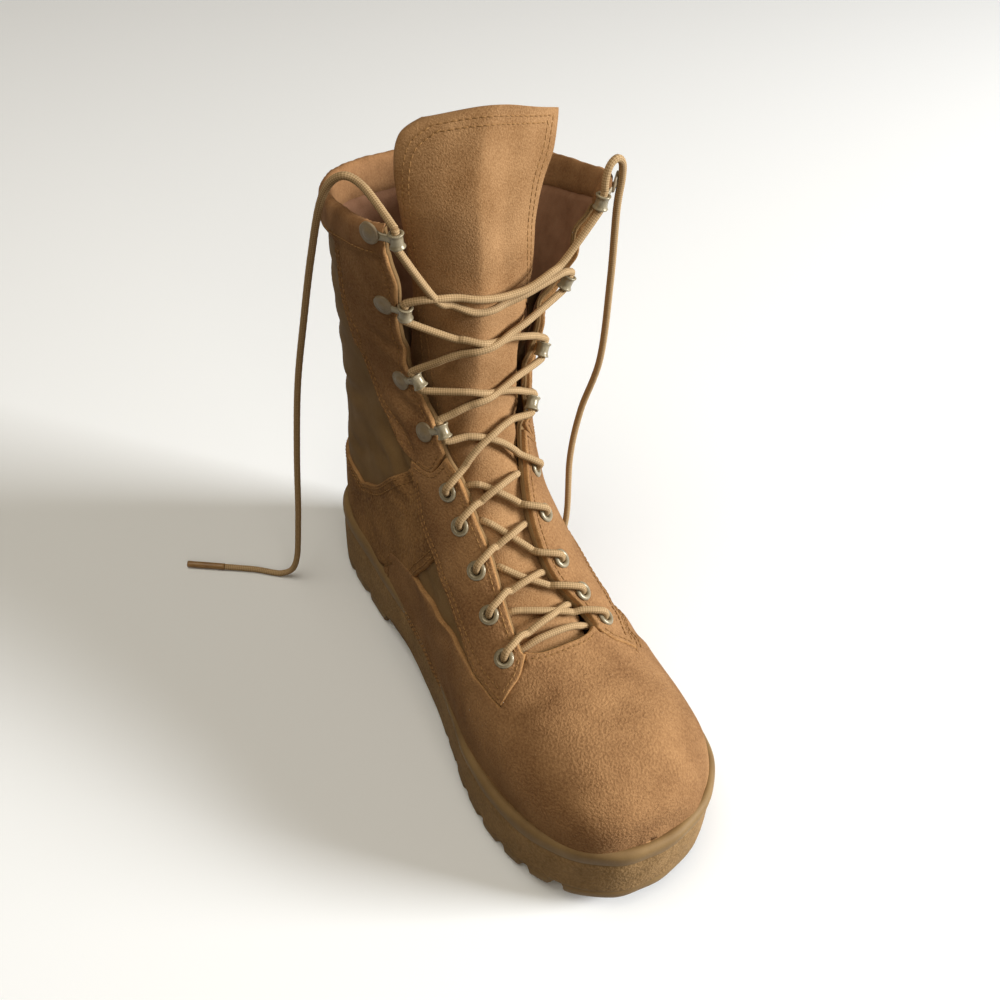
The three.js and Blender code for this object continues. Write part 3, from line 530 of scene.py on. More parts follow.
def panel(name, borders, material, replaced, rows, height=OVERLAY, holes=(), fuller=None, grid=(0.085, 1.5)):
    """A panel of leather; its seams come back with their heights. borders: (place, angle) paths, each with
    whether it is a cut edge. rows: (border, inset) seams. fuller: what is added to the height at a point."""
    for (path, _), (onward, _) in zip(borders, borders[1:] + borders[:1]):
        path[-1] = onward[0]
    outline = np.concatenate([path[:-1] for path, _ in borders])
    area = np.sum(outline[:, 0] * np.roll(outline[:, 1], -1) - np.roll(outline[:, 0], -1) * outline[:, 1])
    if area < 0:
        borders = [(path[::-1], cut) for path, cut in borders[::-1]]
        rows = [(len(borders) - 1 - k, d) for k, d in rows]
        outline = np.concatenate([path[:-1] for path, _ in borders])
    cuts = np.concatenate([on_last(path) for path, cut in borders if cut])
    seams = []
    for k, d in rows:
        moved = inset(borders[k][0], d)[2:-2]
        moved = moved[moved[:, 0] < SEAM_TOP]
        seams.append(moved[nearest(on_last(moved), cuts) > 0.8 * d])

    # The points: the outline, the holes, staggered rows inside, and closer ones behind each cut edge.
    lo, hi = outline.min(0), outline.max(0)
    axes = [np.arange(lo[k], hi[k], grid[k]) for k in (0, 1)]
    fill = np.stack(np.meshgrid(*axes, indexing="ij"), -1).reshape(-1, 2)
    fill[:, 1] += (np.round((fill[:, 0] - lo[0]) / grid[0]) % 2) * grid[1] / 2
    raw = np.concatenate([cuts] + [on_last(ring) for ring in holes])
    fill = fill[nearest(on_last(fill), np.concatenate([on_last(outline), raw])) > 1.9]
    closer = []
    for path, cut in borders:
        for depth in ((0.25, 0.6, 1.2) if cut else ()):
            moved = inset(path, depth)
            closer.append(moved[nearest(on_last(moved), raw) > 0.8 * depth])
    for ring in holes:
        centre = ring.mean(0)
        closer += [centre + (ring - centre) * factor for factor in (1.12, 1.35)]
    flat = 1 / np.array(grid)
    loose = np.concatenate([outline, *holes, fill, *closer])
    edges, start = [], 0
    for loop in [outline, *holes]:
        edges += [(start + i, start + (i + 1) % len(loop)) for i in range(len(loop))]
        start += len(loop)
    found = delaunay_2d_cdt([Vector(p) for p in (loose * flat).tolist()], edges, [], 4 if holes else 1, 1e-4)
    domain = np.array(found[0]) / flat
    triangles = np.array([face for face in found[2] if len(face) == 3])
    for ring in holes:
        centre = ring.mean(0)
        from_hole = (domain[triangles].mean(1) - centre) / np.abs(ring - centre).max(0)
        triangles = triangles[(from_hole**2).sum(-1) > 0.97]

    # The top: rounded down at the cut edges, and pulled in along the seams.
    away = nearest(on_last(domain), raw)
    raised = lambda at: height if fuller is None else height + fuller(at)
    top = raised(domain) - 0.75 * (1 - np.sqrt(1 - (1 - np.clip(away, 0, 1)) ** 2))
    top = top + 0.25 * np.exp(-((away - 2.2) / 1.5) ** 2)
    for seam in seams:
        top = top - 0.55 * np.exp(-(nearest(on_last(domain), on_last(seam)) / 1.1) ** 2)
    lifted = skin(domain[:, 0], domain[:, 1], top)

    # The walls: from the rim to a ledge just under it, and on into the layer below.
    sides = dict.fromkeys(pair for a, b, c in triangles.tolist() for pair in ((a, b), (b, c), (c, a)))
    rim = [pair for pair in sides if pair[::-1] not in sides]
    ids = sorted({i for pair in rim for i in pair})
    below = dict(zip(ids, range(len(domain), len(domain) + len(ids))))
    ledge = dict(zip(ids, range(len(domain) + len(ids), len(domain) + 2 * len(ids))))
    sunk = skin(domain[ids, 0], domain[ids, 1], -0.4)
    near_top = lifted[ids] - last_normal(domain[ids, 0], domain[ids, 1]) * 0.35
    walls = [[b, a, ledge[a], ledge[b]] for a, b in rim]
    walls += [[ledge[b], ledge[a], below[a], below[b]] for a, b in rim]
    faces = triangles.tolist() + walls
    points = np.concatenate([lifted, sunk, near_top])
    points[:, 2] = np.maximum(points[:, 2], footbed(-points[:, 1]) + GAP)
    a, b, c = (lifted[triangles[:, k]] for k in range(3))
    out_of_last = last_normal(*domain[triangles[:, 0]].T)
    if (np.cross(b - a, c - a) * out_of_last).sum() < 0:
        faces = [face[::-1] for face in faces]
    made = link(name, points, faces, material, replaced)
    made.data.materials.append(cut_edge)
    rough = np.concatenate([away[triangles].mean(1) < 0.6, np.ones(len(walls), bool)])
    made.data.polygons.foreach_set("material_index", rough.astype(int))
    return [(seam, raised(seam) - 0.05) for seam in seams]


def lacing(side, start, stop):
    """The lacing edge as a path, a hair outside the fabric's own edge."""
    at = np.linspace(start, stop, 60)
    return curve(np.stack([at, opening(at, side)], -1))


def behind(path):
    """The same path with the inner side's angles counted on past the heel."""
    path = path.copy()
    path[:, 1] = np.where(path[:, 1] < 0, path[:, 1] + 360, path[:, 1])
    return path


suede = surface("suede", "755232", "ad855b", 0.95, 45, 900, 1.0, sheen=0.08, patchy=0.45, fine=0.6, deep=0.0007)
rough_suede = surface("rough suede", "6c4c2c", "ad8456", 0.97, 45, 650, 1.0, sheen=0.1, patchy=0.55, fine=0.8,
                      deep=0.0009)
cut_edge = surface("cut edge", "8e673e", "b98f5f", 0.95, 200, 1600, 0.8, patchy=0.4, fine=0.7, deep=0.0005)
thread = surface("thread", "7d5c38", "a8804f", 0.8, 400, 4000, 0.3)

# ------------------------------------------------------------------ vamp
# One piece over the toe with a wing along each side, under the ends of the eyestays; double seams on
# the wings, one row round the throat.
WING_TOP = [(215.5, 78.6), (201, 79.5), (188, 81.5), (178, 82.3), (165, 82.3), (142, 79.3), (119, 76.2),
            (104, 72.5), (94, 69)]
WING_END = [(94, 69), (87, 62), (83, 52), (81, 38)]
VAMP_FOOT = [(81, 38), (110, 33), (150, 30), (190, 27), (230, 26), (255, 27)]
TOE_FOOT = [(2, 118), (1, 124), (0.4, 140), (-0.1, 165), (-0.45, 178)]
borders = []
for side in (1, -1):
    top, end, foot = (curve(on_side(side, table)) for table in (WING_TOP, WING_END, VAMP_FOOT))
    toe = curve(np.concatenate([foot[-1:], np.array(TOE_FOOT) * [1, side]]))
    corner = curve([[THROAT_FRONT, side * abs(float(opening(np.array([7.0]), side)[0]))], top[0]])
    borders.append([(corner, False), (top, True), (end, True), (foot, False), (toe, False)])
lateral, medial = borders
tips = [half[0][0][0] for half in (medial, lateral)]
arc = np.linspace(*tips, 30)
arc[1:-1, 0] = (THROAT_FRONT - 0.05 + 0.3 * np.abs(np.linspace(-1, 1, 30)) ** 3)[1:-1]
nose = np.stack([np.full(60, -0.45), np.linspace(178, -178, 60)], -1)
loop = [(curve(arc), True)] + lateral + [(nose, False)] + [(path[::-1], cut) for path, cut in medial[::-1]]
rows = [(0, 2.6)] + [(k, d) for k in (2, 3, 9, 8) for d in (1.9, 5.2)]
sew("vamp_stitches", panel("vamp_suede", loop, suede, ["vamp"], rows))

# ------------------------------------------------------------------ counter
# One piece round the heel that rises in front into a saddle over each ankle, under the eyestays; its
# suede is rougher. A double seam follows its top edge and the saddle's front.
SADDLE_TOP = [(112, 139), (107, 133), (93, 119.5), (80, 105), (67, 94.5), (45, 89), (25, 88.5), (9, 90)]
SADDLE_FRONT = [(145, 107), (141, 104.5), (133, 92), (124, 79), (118, 68)]
COUNTER_FOOT = [(118, 68), (100, 62), (84, 50), (60, 38), (30, 38), (12, 42)]
halves = []
for side in (1, -1):
    top, front, foot = (curve(on_side(side, table)) for table in (SADDLE_TOP, SADDLE_FRONT, COUNTER_FOOT))
    halves.append([behind(path) for path in (top, front, foot, curve([front[0], top[0]]))])
(top_l, front_l, foot_l, hidden_l), (top_m, front_m, foot_m, hidden_m) = halves
heel_top = curve([top_l[-1], [15.78, 180], top_m[-1]])
heel_foot = curve([foot_m[-1], [14.2, 180], foot_l[-1]])
loop = [(top_l, True), (heel_top, True), (top_m[::-1], True), (hidden_m[::-1], False), (front_m, True),
        (foot_m, False), (heel_foot, False), (foot_l[::-1], False), (front_l[::-1], True), (hidden_l, False)]
rows = [(k, d) for k in (0, 1, 2, 4, 8) for d in (1.9, 5.0)]
seams = panel("counter_suede", loop, rough_suede, ["counter"], rows, height=OVERLAY - 0.15, grid=(0.075, 1.7))
sew("counter_stitches", seams)

# ------------------------------------------------------------------ facings and backstay
# The suede in front of the shaft's slanting double seam, up to the collar, and a strip up the back.
FACING_SEAM = [(112, 143), (97, 150), (84, 161), (77, 176), (70.5, 194), (67.5, 214), (67.5, 238), (69, 262)]
NOTCH, UNDER_COLLAR = 12.15, 20.7
for name, side in SIDES.items():
    rear = curve(on_side(side, FACING_SEAM))
    rear = rear[rear[:, 0] < UNDER_COLLAR]
    edge = lacing(side, NOTCH, UNDER_COLLAR)
    rim = curve(np.stack([np.full(12, UNDER_COLLAR), np.linspace(edge[-1, 1], rear[-1, 1], 12)], -1))
    low = curve([rear[0], [11.95, (rear[0, 1] + edge[0, 1]) / 2], edge[0]])
    loop = [(edge, True), (rim, False), (rear[::-1], True), (low, True)]
    rows = [(0, 3.0), (2, 1.9), (2, 5.2), (3, 2.2)]
    sew(f"facing_stitches_{name}", panel(f"facing_suede_{name}", loop, suede, [f"facing_{name}"], rows))

stay_place = np.linspace(15.7, UNDER_COLLAR, 40)
stay = []
for side, reach in ((1, [(15.7, 11), (18.5, 12), (20.9, 16)]), (-1, [(15.7, -11), (18.5, -9), (20.9, -4)])):
    goal = np.interp(stay_place, *zip(*reach))
    near, far = np.full(40, 100.0), np.full(40, 260.0)
    for _ in range(24):
        half = (near + far) / 2
        wide = last_point(stay_place, half)[:, 0] > goal
        near, far = np.where(wide, half, near), np.where(wide, far, half)
    stay.append(curve(np.stack([stay_place, near], -1)))
outer, inner = stay
top, foot = curve([outer[-1], inner[-1]]), curve([inner[0], outer[0]])
loop = [(outer, True), (top, False), (inner[::-1], True), (foot, False)]
rows = [(0, 1.9), (2, 1.9)]
seams = panel("backstay_suede", loop, suede, ["backstay"], rows, height=OVERLAY - 0.3, grid=(0.06, 1.5))
sew("backstay_stitches", seams)

# ------------------------------------------------------------------ eyestays
# A thick panel along each side of the lacing, over the vamp, the saddle and the fabric, with a double
# seam behind, one row in front and a rounded, bar-tacked corner at the throat. Five eyelet holes each.
EYESTAY_REAR = [(215.5, 79), (206, 79.6), (198, 80.8), (191, 83), (185, 85.2), (176, 89.8), (161, 96.5),
                (151, 99.8), (142, 104.5), (127, 112), (117, 124), (111, 143)]
EYELETS = {"medial": [6.95, 7.95, 8.95, 10.1, 11.1], "lateral": [7.0, 7.65, 8.45, 9.6, 10.9]}
EYELET_INBOARD, EYELET_HOLE = 8, 2.9


def flatter(at):
    """The eyestay is thick at the throat and thins towards its top."""
    return 0.9 - 0.75 * np.clip((at[:, 0] - 9.0) / 3, 0, 1)


for name, side in SIDES.items():
    rear = curve(on_side(side, EYESTAY_REAR))
    edge = lacing(side, THROAT_FRONT + 0.12, 12.0)
    back, front = rear[0, 1], edge[0, 1]
    nose = curve([rear[0], [6.3, back * 0.62 + front * 0.38], [6.42, back * 0.3 + front * 0.7], edge[0]])
    top = curve([edge[-1], [11.98, (rear[-1, 1] + edge[-1, 1]) / 2], rear[-1]])
    loop = [(nose, True), (edge, True), (top, True), (rear[::-1], True)]
    rings = []
    for place in EYELETS[name]:
        middle = np.array([[place, edge_angle(place, side, EYELET_INBOARD)[0]]])
        e, _, g = (float(value[0]) for value in metric(middle))
        turn = np.linspace(0, 2 * np.pi, 14, endpoint=False)
        ring = np.stack([np.cos(turn) / math.sqrt(e), np.sin(turn) / math.sqrt(g)], -1)
        rings.append(middle + EYELET_HOLE * ring)
    rows = [(0, 2.4), (1, 2.6), (2, 2.2), (3, 1.9), (3, 5.0)]
    seams = panel(f"eyestay_suede_{name}", loop, suede, [f"eyestay_{name}"], rows, holes=rings, fuller=flatter)
    sew(f"eyestay_stitches_{name}", seams)

# ------------------------------------------------------------------ collar binding
# A soft leather strip folded over the shaft's top edge, stitched below.
collar_hide = surface("collar hide", "785433", "a67d55", 0.85, 80, 1000, 0.5, sheen=0.1, fine=0.5)
COLLAR_STEPS = 200
ends = [float(opening(np.array([20.9]), 1)[0]), 360 + float(opening(np.array([20.9]), -1)[0])]
around = np.linspace(ends[0], ends[1], COLLAR_STEPS)
# The strip's cross-section, from its outer edge over the top and in: (place, height over the last).
FOLD = [(20.28, 0.4), (20.3, 1.5), (20.36, 2.0), (20.6, 2.35), (20.85, 2.3), (20.97, 1.8), (21.02, 0.9),
        (21.04, -0.6), (21.02, -2.2), (20.95, -3.2), (20.8, -3.6), (20.55, -3.5), (20.4, -3.0), (20.36, -2.3)]
fold = np.stack([skin(np.full(COLLAR_STEPS, place), around, offset) for place, offset in FOLD])
fold[..., 2] += 0.25 * np.sin(around * 0.9) * np.sin(around * 0.37 + 1)
first_end = [k * COLLAR_STEPS for k in range(len(FOLD))]
caps = [first_end, [k + COLLAR_STEPS - 1 for k in first_end[::-1]]]
faces = list(grid_faces(len(FOLD), COLLAR_STEPS)) + caps
link("collar_binding", fold.reshape(-1, 3), faces, collar_hide)
sew("collar_stitches", [(curve(np.stack([np.full(COLLAR_STEPS, 20.42), around], -1)[3:-3]), 2.15)])

# ------------------------------------------------------------------ tongue
# Padded suede, free at its top, folded lengthwise along its inner third, with a stitched border and a
# fuzzy cut top; a thin bellows gusset joins each side to the flap. Columns: place, inner and outer side.
TONGUE = [(6.2, -23, 8), (7.5, -32, 15), (9, -30, 12), (11, -30, 16), (13, -33, 27), (15, -35, 32),
          (17, -37, 31), (19, -38.5, 28), (21, -40, 29.5), (22, -38, 37), (22.62, -31.5, 41.5), (22.95, -19, 43)]
tongue_hide = surface("tongue hide", "7d5934", "b68f65", 0.95, 45, 1300, 0.9, sheen=0.08, patchy=0.4, fine=0.6)
TONGUE_ROWS, TONGUE_STEPS = 190, 64
TONGUE_FACE, TONGUE_BACK = -3.5, -6.4  # how far under the last's own surface
fine = np.linspace(0, len(TONGUE) - 1, TONGUE_ROWS)
t_place, t_inner, t_outer = (spline(column, fine) for column in zip(*TONGUE))
t_place = np.minimum(t_place, 23)
tongue_place = np.repeat(t_place[:, None], TONGUE_STEPS, 1)
part = np.broadcast_to(np.linspace(0, 1, TONGUE_STEPS), tongue_place.shape)


def level_angle(place, across):
    """The angle where a section's front reaches a place across the foot, on either side of its ridge."""
    return angle_across(place, across, np.where(across < spline(LAST["ridge"], place), -1, 1))


tongue_angle = level_angle(tongue_place, t_inner[:, None] + (t_outer - t_inner)[:, None] * part)


def tongue_height(place, part):
    """The tongue's own relief: pressed under the flaps, full between, with the fold and rucks at the ankle."""
    fold_at = 0.45 + 0.05 * np.sin(place * 0.5 - 2)
    strength = np.clip((place - 11.5) / 4, 0, 1)
    slope = np.where(part < fold_at, 33, 18)
    fold = strength * (5.6 - slope * (np.sqrt((part - fold_at) ** 2 + 0.0009) - 0.03))
    dent, swell = np.exp(-((part - 0.68) / 0.07) ** 2), np.exp(-((part - 0.24) / 0.08) ** 2)
    second = strength * (-0.7 * dent + 0.4 * swell * np.sin(place * 0.9))
    rucks = 0.9 * np.exp(-((place - 11.6) / 1.6) ** 2) * np.sin(place * 5.2 + part * 3)
    rucks = rucks + 0.35 * np.sin(place * 2.1 + part * 6)
    from_side = np.minimum(part, 1 - part)
    pressed = -2.3 * (1 - np.clip(from_side / 0.16, 0, 1) ** 0.7) * np.clip((22 - place) / 2, 0, 1)
    lip = -0.8 * np.exp(-(from_side / 0.012))
    return fold + second + rucks + pressed + lip + 0.6 * np.clip((place - 8) / 4, 0, 1) * np.sin(np.pi * part)


def tongue_skin(place, angle, part, offset):
    """Points of the tongue at a depth; its top leans, with a raised crown and a lower outer corner."""
    base, normal = last_point(place, angle), last_normal(place, angle)
    lean = np.clip((place - 20.8) / 2.2, 0, 1)
    moved = base + normal * (offset + tongue_height(place, part))[..., None]
    crown = lean * (3 * np.exp(-(((part - 0.4) / 0.3) ** 2)) - 6 * part**2)
    return moved + np.stack([0 * lean, 0 * lean, crown], -1)


sheets = []
for offset, clear in ((TONGUE_FACE, 14), (TONGUE_BACK, 12)):
    sheet = tongue_skin(tongue_place, tongue_angle, part, offset)
    sheet[..., 2] = np.maximum(sheet[..., 2], footbed(-sheet[..., 1]) + clear)
    sheets.append(sheet)
outer, inner = sheets
n = tongue_place.size
faces = [grid_faces(TONGUE_ROWS, TONGUE_STEPS), grid_faces(TONGUE_ROWS, TONGUE_STEPS, n, flip=True)]
index = np.arange(n).reshape(tongue_place.shape)
loop = np.concatenate([index[0], index[1:, -1], index[-1, -2::-1], index[-2:0:-1, 0]])
middle = (outer.reshape(-1, 3)[loop] + inner.reshape(-1, 3)[loop]) / 2
row, step_in = np.divmod(loop, TONGUE_STEPS)
bulge = middle - outer[np.clip(row, 1, TONGUE_ROWS - 2), np.clip(step_in, 1, TONGUE_STEPS - 2)]
bulge = middle + bulge / np.maximum(np.linalg.norm(bulge, axis=-1, keepdims=True), 1e-6) * 0.7
k = np.arange(len(loop))
after = np.roll(k, -1)
rim = [np.stack([loop, 2 * n + k, 2 * n + after, loop[after]], -1),
       np.stack([2 * n + k, n + loop, n + loop[after], 2 * n + after], -1)]
points = np.concatenate([outer.reshape(-1, 3), inner.reshape(-1, 3), bulge])
link("tongue_suede", points, np.concatenate(faces + rim), tongue_hide, ["tongue"])

# Two rows of stitches follow the border up one side, round the top's corners and down the other.
PLACE_LENGTH = 19  # mm from one place to the next near the top
SEWN_FROM = 18  # the row of the tongue where they start
up_side, down_side = (np.stack([edge, t_place * PLACE_LENGTH], -1) for edge in (t_inner, t_outer))
border = np.concatenate([up_side[SEWN_FROM:], down_side[:SEWN_FROM:-1]])
gone = travelled(border)
border = taken_at(border, gone, np.arange(0, gone[-1], 1.2))
way = np.gradient(border, axis=0)
way /= np.linalg.norm(way, axis=1, keepdims=True)
rows = []
for depth in (4.2, 7.0):
    moved = border + np.stack([way[:, 1], -way[:, 0]], -1) * depth
    moved = moved[np.linalg.norm(moved[:, None] - border[None], axis=-1).min(1) > 0.96 * depth]
    place = moved[:, 1] / PLACE_LENGTH
    inner_x, outer_x = (np.interp(place, t_place, column) for column in (t_inner, t_outer))
    part = (moved[:, 0] - inner_x) / (outer_x - inner_x)
    path = np.stack([place, level_angle(place, moved[:, 0])], -1)
    rows.append((path, tongue_skin(place, path[:, 1], part, TONGUE_FACE)))
sew("tongue_stitches", rows, thickness=0.72)

# Gussets: thin leather from each side of the tongue to the inside of the flap, sagging between.
gusset_hide = surface("gusset hide", "5a4733", "745d43", 0.9, 90, 1500, 0.3)
GUSSET_ROWS, GUSSET_STEPS = 14, 90
for name, side in SIDES.items():
    place = np.linspace(7.6, 17.5, GUSSET_STEPS)
    x = np.interp(place, t_place, t_outer if side > 0 else t_inner) - side * 3
    start, stop = angle_across(place, x, side), edge_angle(place, side, 9)
    rows = []
    for f in np.linspace(0, 1, GUSSET_ROWS):
        sag = -3.1 - 2.6 * math.sin(math.pi * f) - 2.4 * (1 - f) + 0.5 * np.sin(place * 2.4 + 2 * f)
        rows.append(skin(place, start + (stop - start) * f, sag))
    faces = grid_faces(GUSSET_ROWS, GUSSET_STEPS, flip=side < 0)
    link(f"gusset_{name}", np.concatenate(rows), faces, gusset_hide)

# ------------------------------------------------------------------ eyelets and lace loops
# Pressed steel with baked khaki enamel: rolled eyelets, and above them loops, each a riveted disc, a
# neck to the flap's edge and a flared spool that the lace runs up through.
enamel = surface("enamel", "776d56", "a3987e", 0.32, 260, 1800, 0.06, patchy=0.35, fine=0.1, metal=0.15)
# The discs take a darker copy of the same enamel: painted shade.
shaded_disc_enamel = surface("disc enamel in painted shade", "6a5c45", "8f7e62", 0.45, 260, 1800, 0.1, patchy=0.35, fine=0.2)


def seat(place, side, inboard, offset):
    """A point on the leather, the way out of it, and the way up along the flap's edge."""
    at = np.array([place])
    angle = edge_angle(at, side, inboard)
    here, out = skin(at, angle, offset)[0], last_normal(at, angle)[0]
    up = skin(at + 0.15, edge_angle(at + 0.15, side, inboard), offset)[0] - here
    up = up - out * np.dot(up, out)
    return here, out, up / np.linalg.norm(up)


TURNED_STEPS = 28


def turned(profile, here, axis):
    """A profile of (radius, height) turned about an axis: its points and faces."""
    side = np.cross(axis, [0.3, 0.2, 0.9])
    side /= np.linalg.norm(side)
    other = np.cross(axis, side)
    turn = np.linspace(0, 2 * np.pi, TURNED_STEPS, endpoint=False)
    ring = np.cos(turn)[:, None] * side + np.sin(turn)[:, None] * other
    points = np.concatenate([here + axis * h + ring * r for r, h in profile])
    return points, grid_faces(len(profile), TURNED_STEPS, closed=True)


def joined(parts):
    """Several meshes' points and faces as one mesh's."""
    points, faces, start = [], [], 0
    for more, quads in parts:
        points.append(more)
        faces += [[int(i) + start for i in quad] for quad in quads]
        start += len(more)
    return np.concatenate(points), faces


ROLLED = [(2.3, -2.6), (2.3, 0.3), (2.55, 0.85), (3.0, 1.15), (3.6, 1.2), (4.2, 1.0), (4.65, 0.55), (4.75, 0.1),
          (4.5, -0.15), (2.9, -0.2), (2.9, -2.6), (2.3, -2.6)]
for name, side in SIDES.items():
    for pair, place in enumerate(EYELETS[name], 1):
        sits = OVERLAY + 0.2 + flatter(np.array([[place]]))[0]
        here, out, _ = seat(place, side, EYELET_INBOARD, sits)
        points, faces = turned(ROLLED, here, out)
        link(f"eyelet_{name}_{pair}_rolled", points, faces, enamel, [f"eyelet_{name}_{pair}"])

LOOPS = {"medial": [12.85, 15.3, 18.3, 20.75], "lateral": [12.9, 15.2, 17.9, 20.6]}
LOOP_SEAT = (-4.6, 3.2)  # the tunnel's middle: how far onto the leather, and its height over the last
SPOOL = [(2.1, -2.9), (2.3, -3.2), (2.8, -3.35), (3.35, -3.2), (3.5, -2.85), (3.3, -2.45), (2.95, -2.0),
         (2.8, -1.1), (2.8, 1.1), (2.95, 2.0), (3.3, 2.45), (3.5, 2.85), (3.35, 3.2), (2.8, 3.35), (2.3, 3.2),
         (2.1, 2.9), (2.05, 0), (2.1, -2.9)]
DISC_UP, DISC_INBOARD = 0.35, 6.5
TOP_DISC_PLACE, TOP_DISC_INBOARD = 20.9, 4.5
DISC = [(0.01, 1.9), (1.1, 1.85), (2.0, 1.6), (2.5, 1.15), (3.2, 1.0), (4.3, 0.95), (4.75, 0.6), (4.85, 0.0),
        (4.6, -0.3)]
NECK_STEPS = 9
NECK = [(-1, 0), (-1, 0.8), (-0.6, 1.1), (0.6, 1.1), (1, 0.8), (1, 0), (0, -0.2)]  # half widths, and heights
for name, side in SIDES.items():
    for pair, place in zip((4, 3, 2, 1), LOOPS[name]):
        if pair > 1:
            disc, out, up = seat(place + DISC_UP, side, DISC_INBOARD, OVERLAY + 0.1)
        else:
            disc, out, up = seat(TOP_DISC_PLACE, side, TOP_DISC_INBOARD, OVERLAY + 0.9)
        loop, loop_out, loop_up = seat(place, side, *LOOP_SEAT)
        neck = []
        for t in np.linspace(0, 1, NECK_STEPS):
            at = disc + (loop - disc) * (0.25 + 0.72 * t)
            tall = (out * (1 - t) + loop_out * t) * (0.75 + 0.5 * math.sin(math.pi * t) - 0.35 * t)
            half = 2.3 - 0.8 * math.sin(math.pi * min(t * 1.15, 1)) + 0.2 * t
            rise = up * (1 - t) + loop_up * t
            neck += [at + rise * half * w + tall * h for w, h in NECK]
        neck = np.array(neck), grid_faces(NECK_STEPS, len(NECK), closed=True, flip=side < 0)
        points, faces = joined([turned(DISC, disc, out), turned(SPOOL, loop, loop_up), neck])
        made = link(f"loop_{name}_{pair}_pressed", points, faces, enamel, [f"loop_{name}_{pair}"])
        made.data.materials.append(shaded_disc_enamel)
        # The disc's faces get the darker enamel, which is painted shade.
        disc_painted_shade = np.arange(len(made.data.polygons)) < (len(DISC) - 1) * TURNED_STEPS
        made.data.polygons.foreach_set("material_index", disc_painted_shade.astype(int))

# ------------------------------------------------------------------ lace
# One flat-braided round cord: a bar under the bottom eyelets, then crossed up the boot, through each
# eyelet from beneath, each loop from below; slack between the top loops. The two ends hang free.
PLAITS, BRAID_PITCH = 12, 2.2
CORD_RADIUS, CORD_RIDGE = 1.68, 0.16
braid = bpy.data.materials.new("braid")
braid.use_nodes = True
tree = braid.node_tree
shader = tree.nodes["Principled BSDF"].inputs
shader["Roughness"].default_value, shader["Specular IOR Level"].default_value = 0.8, 0.3
unrolled = add_node(tree, "ShaderNodeSeparateXYZ", {0: add_node(tree, "ShaderNodeUVMap")["UV"]})
turns = {0: unrolled["Y"], 1: 2 * math.pi / BRAID_PITCH}
turns = add_node(tree, "ShaderNodeMath", turns, operation="MULTIPLY")
waves = []
for sign in (1, -1):
    slanted = {0: unrolled["X"], 1: sign * PLAITS * math.pi, 2: turns[0]}
    slanted = add_node(tree, "ShaderNodeMath", slanted, operation="MULTIPLY_ADD")
    waves.append(add_node(tree, "ShaderNodeMath", {0: slanted[0]}, operation="SINE")[0])
plait = add_node(tree, "ShaderNodeMath", dict(enumerate(waves)), operation="MULTIPLY")
eased = add_node(tree, "ShaderNodeMath", {0: plait[0], 1: 0.6, 2: 0.5}, operation="MULTIPLY_ADD")
tones = {"A": colour("8a6f4b"), "B": colour("c4a880"), "Factor": eased[0]}
tree.links.new(add_node(tree, "ShaderNodeMix", tones, data_type="RGBA")["Result"], shader["Base Color"])


def smooth_line(points, step=0.5):
    """A round path through points, evenly stepped."""
    fine = np.linspace(0, len(points) - 1, 60 * len(points))
    line = np.stack([spline(column, fine) for column in zip(*points)], -1)
    gone = travelled(line)
    return taken_at(line, gone, np.linspace(0, gone[-1], int(gone[-1] / step) + 1))


def tube(line, radius, ridge=0.0, segments=20):
    """A tube along a line, with the braid's raised plaits; its uv is (around, length)."""
    ahead = np.gradient(line, axis=0)
    ahead /= np.linalg.norm(ahead, axis=1, keepdims=True)
    side = np.cross(ahead[0], [0.1, 0.3, 1.0])
    frames = []
    for way in ahead:
        side = side - way * np.dot(side, way)
        side /= np.linalg.norm(side)
        frames.append(side)
    frames = np.array(frames)[:, None]
    other = np.cross(ahead, frames[:, 0])[:, None]
    turn, length = np.arange(segments) / segments, travelled(line)[:, None]
    slant = length * 2 * np.pi / BRAID_PITCH
    plaits = np.sin(PLAITS * np.pi * turn + slant) * np.sin(-PLAITS * np.pi * turn + slant)
    ring = frames * np.cos(2 * np.pi * turn)[:, None] + other * np.sin(2 * np.pi * turn)[:, None]
    points = line[:, None] + ring * (radius + ridge * plaits)[..., None]
    uv = np.stack(np.broadcast_arrays(turn[None], length), -1).reshape(-1, 2)
    first_end = list(range(segments))
    last_end = [(len(line) - 1) * segments + k for k in first_end[::-1]]
    quads = grid_faces(len(line), segments, closed=True, flip=True)
    return points.reshape(-1, 3), list(quads) + [first_end, last_end], uv


def at_edge(place, side, onto, offset):
    """A point some way onto the leather from the lacing edge."""
    at = np.array([place])
    return skin(at, edge_angle(at, side, onto), offset)[0]


LACE_OVER = 1.7  # the lace's middle over what it lies on


def over_tongue(low, high, side, share, rise, lift, above=0.0):
    """A point of a strand from one side's lacing edge to the other's, lying on the tongue or above it."""
    at = np.array([low + (high - low) * rise])
    start, stop = (spline(LAST["lateral" if s > 0 else "medial"], at) for s in (side, -side))
    x = start + (stop - start) * share
    inner_x, outer_x = (np.interp(at, t_place, column) for column in (t_inner, t_outer))
    rests = tongue_height(at, np.clip((x - inner_x) / (outer_x - inner_x), 0, 1)) + TONGUE_FACE + LACE_OVER
    return skin(at, level_angle(at, x), np.maximum(rests, lift) + above)[0]


# The slack strands, from the lower loop up to the opposite one: share of the way across, share of the
# climb, and height over the last.
SLACK = {
    "eyelet": [(0.15, 0.1, 1.2), (0.5, 0.45, 0.2), (0.84, 0.86, -1.6)],
    "to loop": [(0.1, 0.1, 2.2), (0.3, 0.3, 0.8), (0.55, 0.52, 0.6), (0.8, 0.74, 1.4)],
    "loop": [(0.12, 0.12, 2.2), (0.32, 0.14, 0.8), (0.55, 0.22, 0.7), (0.78, 0.44, 1.6)],
    "top": [(0.1, 0.08, 2.6), (0.25, -0.06, 2.0), (0.45, -0.22, 2.4), (0.66, -0.2, 2.6), (0.85, 0.18, 2.8)],
}
